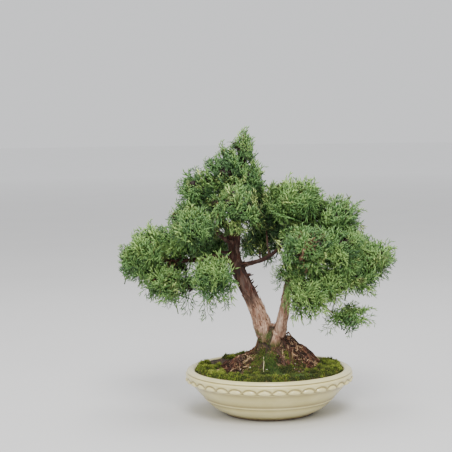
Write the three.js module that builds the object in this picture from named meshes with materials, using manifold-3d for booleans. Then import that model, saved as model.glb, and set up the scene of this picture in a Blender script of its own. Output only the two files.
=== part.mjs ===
// Kishu juniper bonsai in an oval cream pot.
// Millimetres, +Z up. The origin is the centre of the pot's flat underside, and the front faces -Y.

import * as THREE from 'three';
import Module from 'manifold-3d';

const wasm = await Module();
wasm.setup();

// Sizes of the whole

const OVAL = 0.92; // depth of the pot over its width
const GAP = 0.35; // clearance between two pieces that touch
const TWIG_GAP = 0.6; // least clearance between a spray and anything else
const OWN_CORE_GAP = 0.12; // the same to the core it grows out of, at its foot
const CORE_GAP = 1.5; // least clearance between two cores

// Colours and finishes

const glaze = new THREE.MeshStandardMaterial({
  name: 'pot_glaze', color: 0xd9cfb4, roughness: 0.28, metalness: 0, flatShading: true,
});
const earth = new THREE.MeshStandardMaterial({
  name: 'soil', color: 0x3e2c20, roughness: 0.95, metalness: 0, flatShading: true,
});
const moss = new THREE.MeshStandardMaterial({
  name: 'moss', color: 0x4f6a1e, roughness: 0.95, metalness: 0, flatShading: true,
});
const bark = new THREE.MeshStandardMaterial({
  name: 'bark', color: 0x7d5844, roughness: 0.9, metalness: 0, flatShading: true,
});
const foliage = new THREE.MeshStandardMaterial({
  name: 'foliage', color: 0x4c6e43, roughness: 0.8, metalness: 0, flatShading: true,
});

// Seeded random numbers, the same in every run

function seeded(seed) {
  let state = seed >>> 0;
  return (low = 0, high = 1) => {
    state = (state + 0x6d2b79f5) >>> 0;
    let mixed = Math.imul(state ^ (state >>> 15), 1 | state);
    mixed = (mixed + Math.imul(mixed ^ (mixed >>> 7), 61 | mixed)) ^ mixed;
    return low + (high - low) * (((mixed ^ (mixed >>> 14)) >>> 0) / 4294967296);
  };
}

// A smooth, repeatable unevenness between -1 and 1

function unevenness(x, y, z, size) {
  const a = Math.sin((x + y * 0.43 + z * 0.31) / size + 1.7);
  const b = Math.sin((y - x * 0.37 + z * 0.53) / size * 1.31 + 4.1);
  const c = Math.sin((z + x * 0.59 - y * 0.47) / size * 0.83 + 0.6);
  return (a + b + c) / 3;
}

// A closed shell put together from rings of points

class Shell {
  constructor() {
    this.points = [];
    this.faces = [];
  }

  point(vector) {
    this.points.push(vector.x, vector.y, vector.z);
    return this.points.length / 3 - 1;
  }

  ring(vectors) {
    return vectors.map((vector) => this.point(vector));
  }

  face(a, b, c) {
    this.faces.push(a, b, c);
  }

  // Joins two rings; one may hold a whole multiple of the other's points
  strip(lower, upper) {
    const coarse = Math.min(lower.length, upper.length);
    const ratio = Math.max(lower.length, upper.length) / coarse;
    const middle = Math.floor(ratio / 2);
    for (let i = 0; i < coarse; i += 1) {
      const next = (i + 1) % coarse;
      if (ratio === 1) {
        this.face(lower[i], lower[next], upper[next]);
        this.face(lower[i], upper[next], upper[i]);
      } else if (lower.length === coarse) {
        for (let j = 0; j < ratio; j += 1) {
          const here = i * ratio + j;
          this.face(lower[j < middle ? i : next], upper[(here + 1) % upper.length], upper[here]);
        }
        this.face(lower[i], lower[next], upper[i * ratio + middle]);
      } else {
        for (let j = 0; j < ratio; j += 1) {
          const here = i * ratio + j;
          this.face(lower[here], lower[(here + 1) % lower.length], upper[j < middle ? i : next]);
        }
        this.face(lower[i * ratio + middle], upper[next], upper[i]);
      }
    }
  }

  // Closes a ring towards one point, at its start or its end
  capStart(ring, apex) {
    ring.forEach((index, i) => this.face(apex, ring[(i + 1) % ring.length], index));
  }

  capEnd(ring, apex) {
    ring.forEach((index, i) => this.face(index, ring[(i + 1) % ring.length], apex));
  }

  solid() {
    return new wasm.Manifold(new wasm.Mesh({
      numProp: 3,
      vertProperties: new Float32Array(this.points),
      triVerts: new Uint32Array(this.faces),
    }));
  }
}

function largestPiece(solid) {
  const pieces = solid.decompose();
  pieces.sort((a, b) => b.volume() - a.volume());
  return pieces[0];
}

function meshOf(solid, material, name) {
  const data = solid.getMesh();
  const geometry = new THREE.BufferGeometry();
  const position = new Float32Array(data.numVert * 3);
  for (let i = 0; i < data.numVert; i += 1) {
    for (let k = 0; k < 3; k += 1) {
      position[i * 3 + k] = data.vertProperties[i * data.numProp + k];
    }
  }
  geometry.setAttribute('position', new THREE.BufferAttribute(position, 3));
  geometry.setIndex(new THREE.BufferAttribute(new Uint32Array(data.triVerts), 1));
  geometry.computeVertexNormals();
  const mesh = new THREE.Mesh(geometry, material);
  mesh.name = name;
  return mesh;
}

// Pot: an oval bowl with a collar, a band of waves and a raised line low on the body

const POT_SEGMENTS = 36;
const LOW_SEGMENTS = 18; // of the hidden surfaces inside
const WAVES = 36;
const WAVE_STEPS = 3;
const POT_FLOOR = 7;

const potBody = [
  [55, 0], [57, 2.3], [70, 9], [79, 18.6], [81.3, 20.3], [90, 30], [96.6, 38.4], [98.4, 39.5],
];
const potCollar = [
  [101.9, 51.7], [102.4, 52.8], [99.3, 54.9], [96, 55.7], [93, 54.6], [91.2, 51],
];
const potInside = [
  { r: 89, z: 45, count: POT_SEGMENTS }, { r: 81.5, z: 30, count: LOW_SEGMENTS },
  { r: 58, z: POT_FLOOR, count: LOW_SEGMENTS },
];

// Each row of the band: heights and radii at the three steps of a wave
const waveRows = [
  { z: [40.9, 41, 41], r: [99.9, 102, 102] },
  { z: [42, 46.4, 46.4], r: [101.4, 104.8, 104.8] },
  { z: [43, 48.2, 48.2], r: [101.6, 103, 103] },
  { z: [46.8, 50, 50], r: [104.6, 104.5, 104.5] },
  { z: [51.1, 51.2, 51.2], r: [103.4, 103.4, 103.4] },
];

function ovalPoint(radius, height, angle) {
  return new THREE.Vector3(radius * Math.cos(angle), OVAL * radius * Math.sin(angle), height);
}

function ovalRing(radius, height, count) {
  const ring = [];
  for (let i = 0; i < count; i += 1) {
    ring.push(ovalPoint(radius, height, (i / count) * 2 * Math.PI));
  }
  return ring;
}

function buildPot() {
  const shell = new Shell();
  const underside = shell.point(new THREE.Vector3(0, 0, 0));
  const bodyRings = potBody.map(([r, z]) => shell.ring(ovalRing(r, z, POT_SEGMENTS)));
  shell.capStart(bodyRings[0], underside);
  const bandRings = waveRows.map((row) => {
    const count = WAVES * WAVE_STEPS;
    const ring = [];
    for (let i = 0; i < count; i += 1) {
      const step = i % WAVE_STEPS;
      ring.push(ovalPoint(row.r[step], row.z[step], (i / count) * 2 * Math.PI));
    }
    return shell.ring(ring);
  });
  const collarRings = potCollar.map(([r, z]) => shell.ring(ovalRing(r, z, POT_SEGMENTS)));
  const insideRings = potInside.map(({ r, z, count }) => shell.ring(ovalRing(r, z, count)));
  const rings = [...bodyRings, ...bandRings, ...collarRings, ...insideRings];
  for (let i = 0; i + 1 < rings.length; i += 1) {
    shell.strip(rings[i], rings[i + 1]);
  }
  const floor = shell.point(new THREE.Vector3(0, 0, POT_FLOOR));
  shell.capEnd(rings[rings.length - 1], floor);

  // Two drain holes, each with a shallow groove that lets water out under the pot
  const holeRadius = 6;
  const holeOffset = 27;
  const grooveWidth = 5;
  const grooveDepth = 1.4;
  let pot = shell.solid();
  for (const side of [-1, 1]) {
    const hole = wasm.Manifold.cylinder(30, holeRadius, holeRadius, 12)
      .translate([side * holeOffset, 0, -10]);
    const groove = wasm.Manifold.cube([60, grooveWidth, 2 * grooveDepth], true)
      .translate([side * (holeOffset + 30), 0, 0]);
    pot = pot.subtract(hole).subtract(groove);
  }
  return pot;
}

// Wood: a stump that parts into two trunks, and branches that carry the foliage
// Each limb is a list of points x, y, z and the radius there

const STUMP_CENTRE = { x: 4, y: 0 };
const STUMP_RADIUS = 18.4;
const STUMP_FOOT = 44.4;
const STUMP_SIDES = 13;
const LEAN_START = 92; // height where the stump begins to lean to the left
const LEAN = 0.15;

const mainTrunk = [
  [3, 1, 78, 13], [0, 0, 89, 12.5], [-5.5, -1, 101, 11.8], [-9.5, -2, 114, 10.8], [-15, -3, 130, 9.8],
  [-22, -4, 145, 9], [-28, -5, 158, 9.2], [-33, -5, 170, 9], [-38, -4, 182, 8.6], [-41, -2, 194, 7.6],
  [-42, 0, 207, 6.6], [-46, 2, 221, 5.2], [-53, 3, 236, 4.2], [-64, 1, 252, 3.4], [-86, -3, 275, 2.2],
];
const leader = [
  [-41, -2, 200, 5.8], [-37, 2, 222, 5], [-35, 4, 245, 4.2], [-34, 4, 270, 3.6], [-31, 2, 300, 2.8],
  [-27, 0, 328, 1.8],
];
const secondTrunk = [
  [8, 0, 80, 11], [12.5, -4, 97, 9.2], [15.5, -7, 111, 7.3], [18.5, -8, 123, 6.8], [20.5, -8, 136, 6.2],
  [22, -7, 148, 5.6], [25, -5, 162, 5.2], [32, -2, 177, 4.8], [39, 1, 191, 4.4], [46, 3, 204, 4],
  [48, 4, 219, 3.4], [44, 2, 236, 2.8], [39, -3, 260, 2],
];
const sideBranches = [
  // low left branch and its twigs
  [[-36, -3, 180, 5], [-50, -6, 192, 3.9], [-66, -9, 196, 3.4], [-86, -10, 192, 3.1], [-104, -12, 191, 2.8],
    [-122, -12, 192, 2.4], [-142, -8, 190, 2.1], [-161, -4, 187, 1.6]],
  [[-104, -12, 191, 2.2], [-110, -8, 202, 1.9], [-113, -6, 213, 1.5]],
  [[-122, -12, 192, 2.1], [-136, -16, 203, 1.8], [-150, -21, 215, 1.5]],
  [[-110, -12, 191, 2.1], [-119, -17, 179, 1.8], [-127, -22, 167, 1.5]],
  [[-98, -11, 191, 2.3], [-114, 14, 189, 2], [-132, 36, 190, 1.8], [-148, 54, 192, 1.5]],
  [[-52, -6, 193, 2.6], [-58, -26, 187, 2.3], [-66, -50, 176, 1.7]],
  // higher left branches
  [[-42, 0, 207, 3.2], [-58, -16, 222, 2.6], [-84, -44, 237, 1.7]],
  [[-43, 1, 212, 3.2], [-64, 24, 226, 2.6], [-94, 50, 239, 1.7]],
  [[-40, -1, 198, 3], [-54, 26, 197, 2.5], [-73, 60, 197, 1.7]],
  // crown
  [[-36, 3, 232, 2.8], [-39, -20, 242, 2.3], [-41, -50, 256, 1.6]],
  [[-34, 4, 272, 2.4], [-40, -2, 288, 2], [-47, -8, 304, 1.5]],
  [[-34, 4, 264, 2.4], [-27, 5, 276, 2], [-18, 6, 288, 1.5]],
  [[-35, 4, 250, 2.6], [-37, 24, 264, 2.2], [-38, 52, 283, 1.6]],
  // branch that crosses to the right behind the gap between the trunks
  [[-37, -3, 183, 4.2], [-27, 3, 184, 3.4], [-9, 14, 187, 3.1], [0, 20, 190, 3], [8, 24, 195, 2.8],
    [17, 31, 201, 2.5], [32, 43, 217, 2.2], [48, 56, 238, 1.7]],
  [[2, 21, 191, 2.3], [0, 32, 216, 2], [0, 45, 245, 1.5]],
  [[-9, 14, 187, 2.3], [-9, 40, 196, 2], [-5, 68, 208, 1.5]],
  // right branches
  [[48, 4, 217, 2.8], [66, 0, 227, 2.3], [89, -6, 242, 1.6]],
  [[39, 1, 191, 2.7], [42, -22, 200, 2.2], [47, -50, 210, 1.6]],
  [[45, 3, 202, 3.2], [62, -13, 204, 2.6], [91, -34, 207, 1.7]],
  [[42, 2, 198, 3.6], [70, 5, 200, 3], [98, 3, 196, 2.5], [131, 0, 190, 1.7]],
  [[74, 5, 200, 2.4], [88, 30, 197, 2], [106, 56, 193, 1.6]],
  [[31, -2, 175, 3.4], [52, -8, 173, 2.8], [76, -14, 171, 2.3], [100, -16, 168, 1.6]],
  [[52, -8, 173, 2.3], [62, -19, 168, 2], [72, -30, 162, 1.5]],
  [[24, -6, 156, 2.8], [30, -22, 157, 2.2], [37, -40, 155, 1.6]],
  [[26, -5, 164, 2], [19, -13, 170, 1.7], [12, -22, 175, 1.3]],
  [[50, -7, 173, 2.4], [56, -4, 152, 2.1], [66, -6, 134, 1.9], [80, -8, 123, 1.7], [97, -10, 118, 1.3]],
  // pruning stubs
  [[-33, -6, 171, 3.4], [-22, -12, 173, 2.2]],
  [[-38, -6, 184, 3.2], [-25, -14, 187, 1.9]],
  [[-24, -2, 150, 3.2], [-35, 6, 156, 2.2]],
];

// One limb as a closed tube of few sides with an uneven, fluted surface
function limb(path, sides, flute, extra) {
  const curve = new THREE.CatmullRomCurve3(path.map(([x, y, z]) => new THREE.Vector3(x, y, z)));
  const shell = new Shell();
  const side = new THREE.Vector3(0, 1, 0);
  const rings = path.map(([, , , radius], i) => {
    const at = i / (path.length - 1);
    const centre = curve.getPoint(at);
    const along = curve.getTangent(at);
    const across = new THREE.Vector3().crossVectors(side, along).normalize();
    side.crossVectors(along, across).normalize();
    const ring = [];
    for (let k = 0; k < sides; k += 1) {
      const angle = (k / sides) * 2 * Math.PI;
      const bulge = 1 + flute * Math.sin(3 * angle + i * 0.7) + flute * Math.sin(5 * angle - i * 0.9);
      const reach = radius * bulge + extra;
      ring.push(centre.clone()
        .addScaledVector(across, reach * Math.cos(angle))
        .addScaledVector(side, reach * Math.sin(angle)));
    }
    return { centre, along, index: shell.ring(ring) };
  });
  for (let i = 0; i + 1 < rings.length; i += 1) {
    shell.strip(rings[i].index, rings[i + 1].index);
  }
  const first = rings[0];
  const last = rings[rings.length - 1];
  const endReach = path[path.length - 1][3] * 0.5 + extra;
  shell.capStart(first.index, shell.point(first.centre.clone().addScaledVector(first.along, -extra)));
  shell.capEnd(last.index, shell.point(last.centre.clone().addScaledVector(last.along, endReach)));
  return shell.solid();
}

// The stump stands in a hole in the soil, which the moss and roots of the mound close in on
function stump(extra) {
  const levels = [
    [STUMP_FOOT - extra, 1, 0], [85, 1.01, 0], [90, 0.96, 0.05],
    [96, 0.86, 0.08], [102, 0.66, 0.08], [109, 0.4, 0.06],
  ];
  const shell = new Shell();
  const rings = levels.map(([z, scale, lobes]) => {
    const ring = [];
    for (let k = 0; k < STUMP_SIDES; k += 1) {
      const angle = (k / STUMP_SIDES) * 2 * Math.PI;
      const lean = Math.min(0, (LEAN_START - z) * LEAN);
      const swell = 1 + lobes * Math.sin(4 * angle + 0.6) + lobes * Math.sin(7 * angle);
      const reach = STUMP_RADIUS * scale * swell + extra;
      ring.push(new THREE.Vector3(
        STUMP_CENTRE.x + lean + reach * Math.cos(angle),
        STUMP_CENTRE.y + reach * Math.sin(angle),
        z,
      ));
    }
    return shell.ring(ring);
  });
  for (let i = 0; i + 1 < rings.length; i += 1) {
    shell.strip(rings[i], rings[i + 1]);
  }
  const foot = new THREE.Vector3(STUMP_CENTRE.x, STUMP_CENTRE.y, STUMP_FOOT - extra);
  const crotch = new THREE.Vector3(STUMP_CENTRE.x - 2, 0, 111);
  shell.capStart(rings[0], shell.point(foot));
  shell.capEnd(rings[rings.length - 1], shell.point(crotch));
  return shell.solid();
}

function limbSides(radius) {
  if (radius > 3.3) {
    return 6;
  }
  return radius > 2.5 ? 4 : 3;
}

function buildWood(extra) {
  const limbs = [
    stump(extra),
    limb(mainTrunk, 9, 0.06, extra),
    limb(leader, 6, 0.04, extra),
    limb(secondTrunk, 8, 0.05, extra),
    ...sideBranches.map((path) => limb(path, limbSides(path[0][3]), 0.03, extra)),
  ];
  return wasm.Manifold.union(limbs);
}

// Soil: an uneven mound with surface roots, filling the pot

const soilRadii = [89.4, 75, 60, 46, 34, 24];
const SOIL_EDGE = 48;
const MOUND_HEIGHT = 49;
const MOUND = { x: 9.5, y: 0, spreadX: 35, spreadY: 33 };

function soilHeight(x, y) {
  const along = (x - MOUND.x) / MOUND.spreadX;
  const across = (y - MOUND.y) / MOUND.spreadY;
  const mound = MOUND_HEIGHT * Math.exp(-(along ** 2) - across ** 2);
  const dish = 3 * (1 - Math.min(1, Math.hypot(x, y / OVAL) / 90) ** 2);
  return SOIL_EDGE + mound + dish + 1.1 * unevenness(x, y, 0, 7);
}

// The rings of the soil's upper surface, from the pot's wall inwards
const soilRings = soilRadii.map((radius, i) => {
  const count = i === soilRadii.length - 1 ? LOW_SEGMENTS : POT_SEGMENTS;
  return ovalRing(radius, 0, count).map((point, k) => {
    const reach = i === 0 ? 1 : 1 + (2.2 * Math.sin(k * 2.4 + i * 1.9)) / radius;
    point.x *= reach;
    point.y *= reach;
    point.z = soilHeight(point.x, point.y);
    return point;
  });
});

function buildSoil(hole) {
  const shell = new Shell();
  const bottom = POT_FLOOR + GAP;
  const [rim, wall, floor] = potInside;
  const rings = [
    ovalRing(floor.r - 2 * GAP, bottom, LOW_SEGMENTS),
    ovalRing(wall.r - GAP, wall.z, LOW_SEGMENTS),
    ovalRing(rim.r - GAP, rim.z, POT_SEGMENTS),
    ...soilRings,
  ].map((ring) => shell.ring(ring));
  shell.capStart(rings[0], shell.point(new THREE.Vector3(0, 0, bottom)));
  for (let i = 0; i + 1 < rings.length; i += 1) {
    shell.strip(rings[i], rings[i + 1]);
  }
  const crown = new THREE.Vector3(0, 0, soilHeight(0, 0));
  shell.capEnd(rings[rings.length - 1], shell.point(crown));

  // Thin roots that run down the mound, sunk to half their thickness
  const random = seeded(71);
  const roots = [];
  const rootCount = 8;
  for (let i = 0; i < rootCount; i += 1) {
    const heading = (i / rootCount) * 2 * Math.PI + random(-0.15, 0.15);
    const thickness = random(1.4, 2.3);
    const turn = random(-0.5, 0.5);
    const faceFront = Math.cos(heading + Math.PI / 2) > 0.75;
    const reach = faceFront ? random(8, 11) : random(15, 24);
    const path = [];
    for (let k = 0; k < 3; k += 1) {
      const out = STUMP_RADIUS + 0.5 + (reach * k) / 2;
      const angle = heading + turn * (k / 2) ** 2;
      const x = STUMP_CENTRE.x + out * Math.cos(angle);
      const y = STUMP_CENTRE.y + out * Math.sin(angle);
      const sink = k === 2 ? -2.4 : 0.4;
      path.push([x, y, soilHeight(x, y) + sink, thickness * (1.1 - 0.25 * k)]);
    }
    roots.push(limb(path, 3, 0, 0));
  }
  return largestPiece(wasm.Manifold.union([shell.solid(), ...roots]).subtract(hole));
}

// Moss: low cushions on the soil round the mound

const mossPatches = [
  { name: 'moss_left', from: 16, to: 23, rows: 3, depth: 3.6, seed: 11 },
  { name: 'moss_front', from: 24, to: 30, rows: 4, depth: 4, seed: 12 },
  { name: 'moss_right', from: 31, to: 38, rows: 3, depth: 3.6, seed: 13 },
  { name: 'moss_back', from: 5, to: 13, rows: 3, depth: 3.2, seed: 14 },
];
const MOSS_EDGE = 0.7; // thickness where a patch ends
const MOSS_AT_WALL = 2.4; // thickness against the pot's wall
const MOSS_LIFT = GAP + 0.05; // clearance over the soil
const SHOOT_CHANCE = 0.2; // share of the fields that carry an upright shoot

// A patch covers whole fields between the soil's rings, so that it lies evenly above them
function buildMoss(patch) {
  const random = seeded(patch.seed);
  const shell = new Shell();
  const columns = patch.to - patch.from + 1;
  const under = [];
  const over = [];
  for (let i = 0; i < patch.rows; i += 1) {
    const line = [];
    for (let k = 0; k < columns; k += 1) {
      const point = soilRings[i][(patch.from + k) % POT_SEGMENTS].clone();
      point.z += MOSS_LIFT;
      line.push(point);
    }
    under.push(shell.ring(line));
    over.push(shell.ring(line.map((point, k) => {
      const ends = k === 0 || k === columns - 1 || i === patch.rows - 1;
      const inside = i === 0 ? MOSS_AT_WALL * random(0.7, 1.2) : patch.depth * random(0.6, 1.2);
      return new THREE.Vector3(point.x, point.y, point.z + (ends ? MOSS_EDGE : inside));
    })));
  }
  const pointAt = (index) => new THREE.Vector3().fromArray(shell.points, index * 3);
  const shoots = [];
  for (let i = 0; i + 1 < patch.rows; i += 1) {
    for (let k = 0; k + 1 < columns; k += 1) {
      shell.face(under[i][k], under[i + 1][k + 1], under[i][k + 1]);
      shell.face(under[i][k], under[i + 1][k], under[i + 1][k + 1]);
      const field = [over[i][k], over[i][k + 1], over[i + 1][k + 1], over[i + 1][k]];
      const top = new THREE.Vector3();
      field.forEach((index) => top.addScaledVector(pointAt(index), 0.25));
      top.z += patch.depth * random(0.3, 0.8);
      const middle = shell.point(top);
      field.forEach((index, corner) => shell.face(index, field[(corner + 1) % 4], middle));
      if (random() < SHOOT_CHANCE) {
        const root = [top.x, top.y, top.z - 1.6, 1.5];
        const tip = [top.x + random(-2.5, 2.5), top.y + random(-2.5, 2.5), top.z + random(2.5, 5), 0.5];
        shoots.push(limb([root, tip], 3, 0, 0));
      }
    }
  }
  const loop = [
    ...over[0].map((index, k) => [index, under[0][k]]),
    ...over.slice(1).map((line, i) => [line[columns - 1], under[i + 1][columns - 1]]),
    ...over[patch.rows - 1].map((index, k) => [index, under[patch.rows - 1][k]]).slice(0, -1).reverse(),
    ...over.slice(1, -1).map((line, i) => [line[0], under[i + 1][0]]).reverse(),
  ];
  loop.forEach(([high, low], i) => {
    const [nextHigh, nextLow] = loop[(i + 1) % loop.length];
    shell.face(nextHigh, high, low);
    shell.face(nextHigh, low, nextLow);
  });
  return wasm.Manifold.union([shell.solid(), ...shoots]);
}

// Foliage: bunches of pointed sprays that grow out of a smaller core
// Each bunch has a centre, its reach along x, y and z, and a number of sprays

const bunches = [
  { name: 'foliage_apex', at: [-26, 0, 325], reach: [15, 15, 28], sprays: 8 },
  { name: 'foliage_crown_left', at: [-47, -8, 304], reach: [25, 25, 25], sprays: 9 },
  { name: 'foliage_crown_right', at: [-18, 6, 289], reach: [22, 25, 24], sprays: 9 },
  { name: 'foliage_crown_back', at: [-38, 52, 284], reach: [28, 28, 25], sprays: 9 },
  { name: 'foliage_shoulder_left', at: [-87, -4, 276], reach: [25, 26, 21], sprays: 9 },
  { name: 'foliage_centre_front', at: [-41, -52, 257], reach: [24, 26, 26], sprays: 9 },
  { name: 'foliage_left_mid_front', at: [-85, -46, 238], reach: [28, 28, 24], sprays: 10 },
  { name: 'foliage_left_mid_back', at: [-94, 52, 239], reach: [31, 31, 25], sprays: 9 },
  { name: 'foliage_left_inner', at: [-113, -6, 214], reach: [26, 28, 22], sprays: 8 },
  { name: 'foliage_far_left_top', at: [-150, -22, 215], reach: [26, 27, 20], sprays: 9 },
  { name: 'foliage_far_left_tip', at: [-161, -4, 187], reach: [22, 26, 23], sprays: 9 },
  { name: 'foliage_far_left_back', at: [-148, 54, 192], reach: [29, 30, 24], sprays: 9 },
  { name: 'foliage_left_under', at: [-127, -22, 165], reach: [28, 28, 26], sprays: 10 },
  { name: 'foliage_low_left_ball', at: [-67, -51, 170], reach: [30, 29, 31], sprays: 11 },
  { name: 'foliage_left_back_low', at: [-73, 61, 197], reach: [29, 30, 23], sprays: 9 },
  { name: 'foliage_centre_behind', at: [0, 46, 246], reach: [26, 28, 28], sprays: 9 },
  { name: 'foliage_centre_low_back', at: [-5, 69, 208], reach: [26, 27, 22], sprays: 8 },
  { name: 'foliage_right_dome', at: [39, -4, 261], reach: [33, 32, 29], sprays: 11 },
  { name: 'foliage_right_dome_back', at: [48, 57, 240], reach: [31, 30, 25], sprays: 9 },
  { name: 'foliage_right_upper', at: [89, -6, 243], reach: [26, 28, 22], sprays: 9 },
  { name: 'foliage_right_front_centre', at: [47, -51, 210], reach: [24, 26, 22], sprays: 9 },
  { name: 'foliage_right_mid', at: [91, -34, 207], reach: [28, 28, 23], sprays: 10 },
  { name: 'foliage_right_tip', at: [131, 0, 190], reach: [27, 29, 22], sprays: 10 },
  { name: 'foliage_right_back', at: [106, 57, 193], reach: [31, 30, 24], sprays: 9 },
  { name: 'foliage_right_low', at: [100, -16, 168], reach: [28, 29, 19], sprays: 9 },
  { name: 'foliage_right_low_front', at: [38, -40, 153], reach: [25, 26, 27], sprays: 10 },
  { name: 'foliage_right_low_mid', at: [72, -30, 162], reach: [21, 24, 23], sprays: 8 },
  { name: 'foliage_inner_sprig', at: [12, -22, 175], reach: [11, 11, 11], sprays: 4 },
  { name: 'foliage_low_right_spray', at: [97, -10, 118], reach: [29, 26, 17], sprays: 9 },
];

const CORE_SHARE = 0.47; // largest reach of a core over the reach of its bunch
const CORE_STEP = 0.96; // how far a crowded core shrinks at a time
const CORE_ROUNDS = 12;
const SPRAY_FOOT = 1.1; // half the width of a spray where it leaves the core
const SPRAY_THICKNESS = 1.3; // half the thickness at its middle
const SPRAY_LIFT = 1.6; // height of its foot over the core
const SHORTEST_SPRAY = 21;
const LONGEST_SPRAY = 27;

// Outlines of a spray from its right foot round to its left: across and along, over its length
const sprayOutlines = [
  [
    [0.13, 0.13], [0.37, 0.38], [0.19, 0.35], [0.46, 0.72], [0.19, 0.57],
    [0.27, 0.95], [0.08, 0.75], [0.01, 1], [-0.09, 0.73], [-0.29, 0.93],
    [-0.2, 0.55], [-0.47, 0.68], [-0.18, 0.33], [-0.38, 0.35], [-0.12, 0.12],
  ],
  [
    [0.17, 0.18], [0.44, 0.56], [0.2, 0.46], [0.34, 0.91], [0.1, 0.7], [-0.02, 1],
    [-0.12, 0.68], [-0.36, 0.87], [-0.21, 0.44], [-0.43, 0.5], [-0.15, 0.16],
  ],
];
const SPRAY_MIDDLE = 0.42; // where a spray is thickest, over its length
const CROWN_LIMITS = { left: -190, right: 159.5, top: 357.5 };
const ATTEMPTS_PER_FACE = 10;
const ATTEMPTS = 30;

// The uneven core: its corners and its faces, each face as three corner numbers
function coreOf(bunch, share, random) {
  const geometry = new THREE.OctahedronGeometry(1, 1);
  const turn = new THREE.Euler(random(0, 6), random(0, 6), random(0, 6));
  const source = geometry.getAttribute('position');
  const known = new Map();
  const corners = [];
  const faces = [];
  for (let i = 0; i < source.count; i += 1) {
    const key = [source.getX(i), source.getY(i), source.getZ(i)].map((value) => value.toFixed(3)).join();
    if (!known.has(key)) {
      const corner = new THREE.Vector3().fromBufferAttribute(source, i).applyEuler(turn);
      const lump = share * random(0.72, 1.26);
      corners.push(corner.set(
        bunch.at[0] + corner.x * lump * bunch.reach[0],
        bunch.at[1] + corner.y * lump * bunch.reach[1],
        bunch.at[2] + corner.z * lump * bunch.reach[2],
      ));
      known.set(key, corners.length - 1);
    }
    if (i % 3 === 0) {
      faces.push([]);
    }
    faces[faces.length - 1].push(known.get(key));
  }
  const shell = new Shell();
  shell.ring(corners);
  faces.forEach(([a, b, c]) => shell.face(a, b, c));
  const solid = shell.solid();
  return { corners, faces, solid, box: solid.boundingBox() };
}

// The points of a spray: a folded fan of pointed shoots
function sprayForm(outlineShares, foot, along, across, length, random) {
  const facing = new THREE.Vector3().crossVectors(across, along);
  const fold = random(0.15, 0.5);
  const place = (u, v, w) => foot.clone()
    .addScaledVector(across, u).addScaledVector(along, v).addScaledVector(facing, w);
  const outline = outlineShares.map(([u, v]) => {
    const isTip = Math.abs(u) > 0.25 || v === 1;
    const reach = length * (isTip ? random(0.88, 1.12) : 1);
    return place(u * reach, v * reach, fold * Math.abs(u) * reach);
  });
  return {
    right: place(SPRAY_FOOT, 0, 0),
    left: place(-SPRAY_FOOT, 0, 0),
    back: place(0, 0, -SPRAY_FOOT),
    outline,
    frontMiddle: place(0, SPRAY_MIDDLE * length, SPRAY_THICKNESS),
    backMiddle: place(0, SPRAY_MIDDLE * length, -SPRAY_THICKNESS),
  };
}

// Adds a spray to a shell and returns the ring of its open foot
function addSpray(shell, form) {
  const right = shell.point(form.right);
  const left = shell.point(form.left);
  const back = shell.point(form.back);
  const front = shell.point(form.frontMiddle);
  const rear = shell.point(form.backMiddle);
  const edge = [right, ...shell.ring(form.outline), left];
  for (let i = 0; i + 1 < edge.length; i += 1) {
    shell.face(front, edge[i], edge[i + 1]);
    shell.face(rear, edge[i + 1], edge[i]);
  }
  shell.face(front, left, right);
  shell.face(rear, right, back);
  shell.face(rear, back, left);
  return [right, back, left];
}

function spraySolid(form) {
  const shell = new Shell();
  const [right, back, left] = addSpray(shell, form);
  shell.face(right, left, back);
  return shell.solid();
}

function boxesMeet(a, b, margin) {
  return [0, 1, 2].every((k) => a.min[k] - margin < b.max[k] && b.min[k] - margin < a.max[k]);
}

// Even directions over a sphere
function evenDirections(count, random) {
  const turn = random(0, 2 * Math.PI);
  const list = [];
  for (let i = 0; i < count; i += 1) {
    const z = 1 - (2 * i + 1) / count;
    const angle = i * 2.399963 + turn;
    const flat = Math.sqrt(1 - z * z);
    list.push(new THREE.Vector3(flat * Math.cos(angle), flat * Math.sin(angle), z));
  }
  return list;
}

// Cores start at their full share and shrink until each is clear of its neighbours
function buildCores() {
  const shares = bunches.map(() => CORE_SHARE);
  const make = (i) => coreOf(bunches[i], shares[i], seeded(100 + i));
  const cores = bunches.map((bunch, i) => make(i));
  for (let round = 0; round < CORE_ROUNDS; round += 1) {
    const crowded = new Set();
    for (let i = 0; i < cores.length; i += 1) {
      for (let k = i + 1; k < cores.length; k += 1) {
        if (tooClose(cores[i], cores[k], CORE_GAP)) {
          crowded.add(i).add(k);
        }
      }
    }
    for (const i of crowded) {
      shares[i] *= CORE_STEP;
      cores[i] = make(i);
    }
  }
  return cores;
}

function tooClose(a, b, gap) {
  return boxesMeet(a.box, b.box, gap) && a.solid.minGap(b.solid, gap) < gap * 0.99;
}

function beyondCrown(box) {
  return box.min[0] < CROWN_LIMITS.left || box.max[0] > CROWN_LIMITS.right || box.max[2] > CROWN_LIMITS.top;
}

// Distance from a foot, in one direction, to the bunch's outer form swollen by the given share
function reachAlong(foot, along, bunch, share) {
  const scaled = (vector) => new THREE.Vector3(
    vector.x / bunch.reach[0], vector.y / bunch.reach[1], vector.z / bunch.reach[2],
  );
  const from = scaled(foot.clone().sub(new THREE.Vector3().fromArray(bunch.at)));
  const way = scaled(along);
  const a = way.lengthSq();
  const b = from.dot(way);
  const c = from.lengthSq() - share * share;
  return (-b + Math.sqrt(Math.max(0, b * b - a * c))) / a;
}

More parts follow.
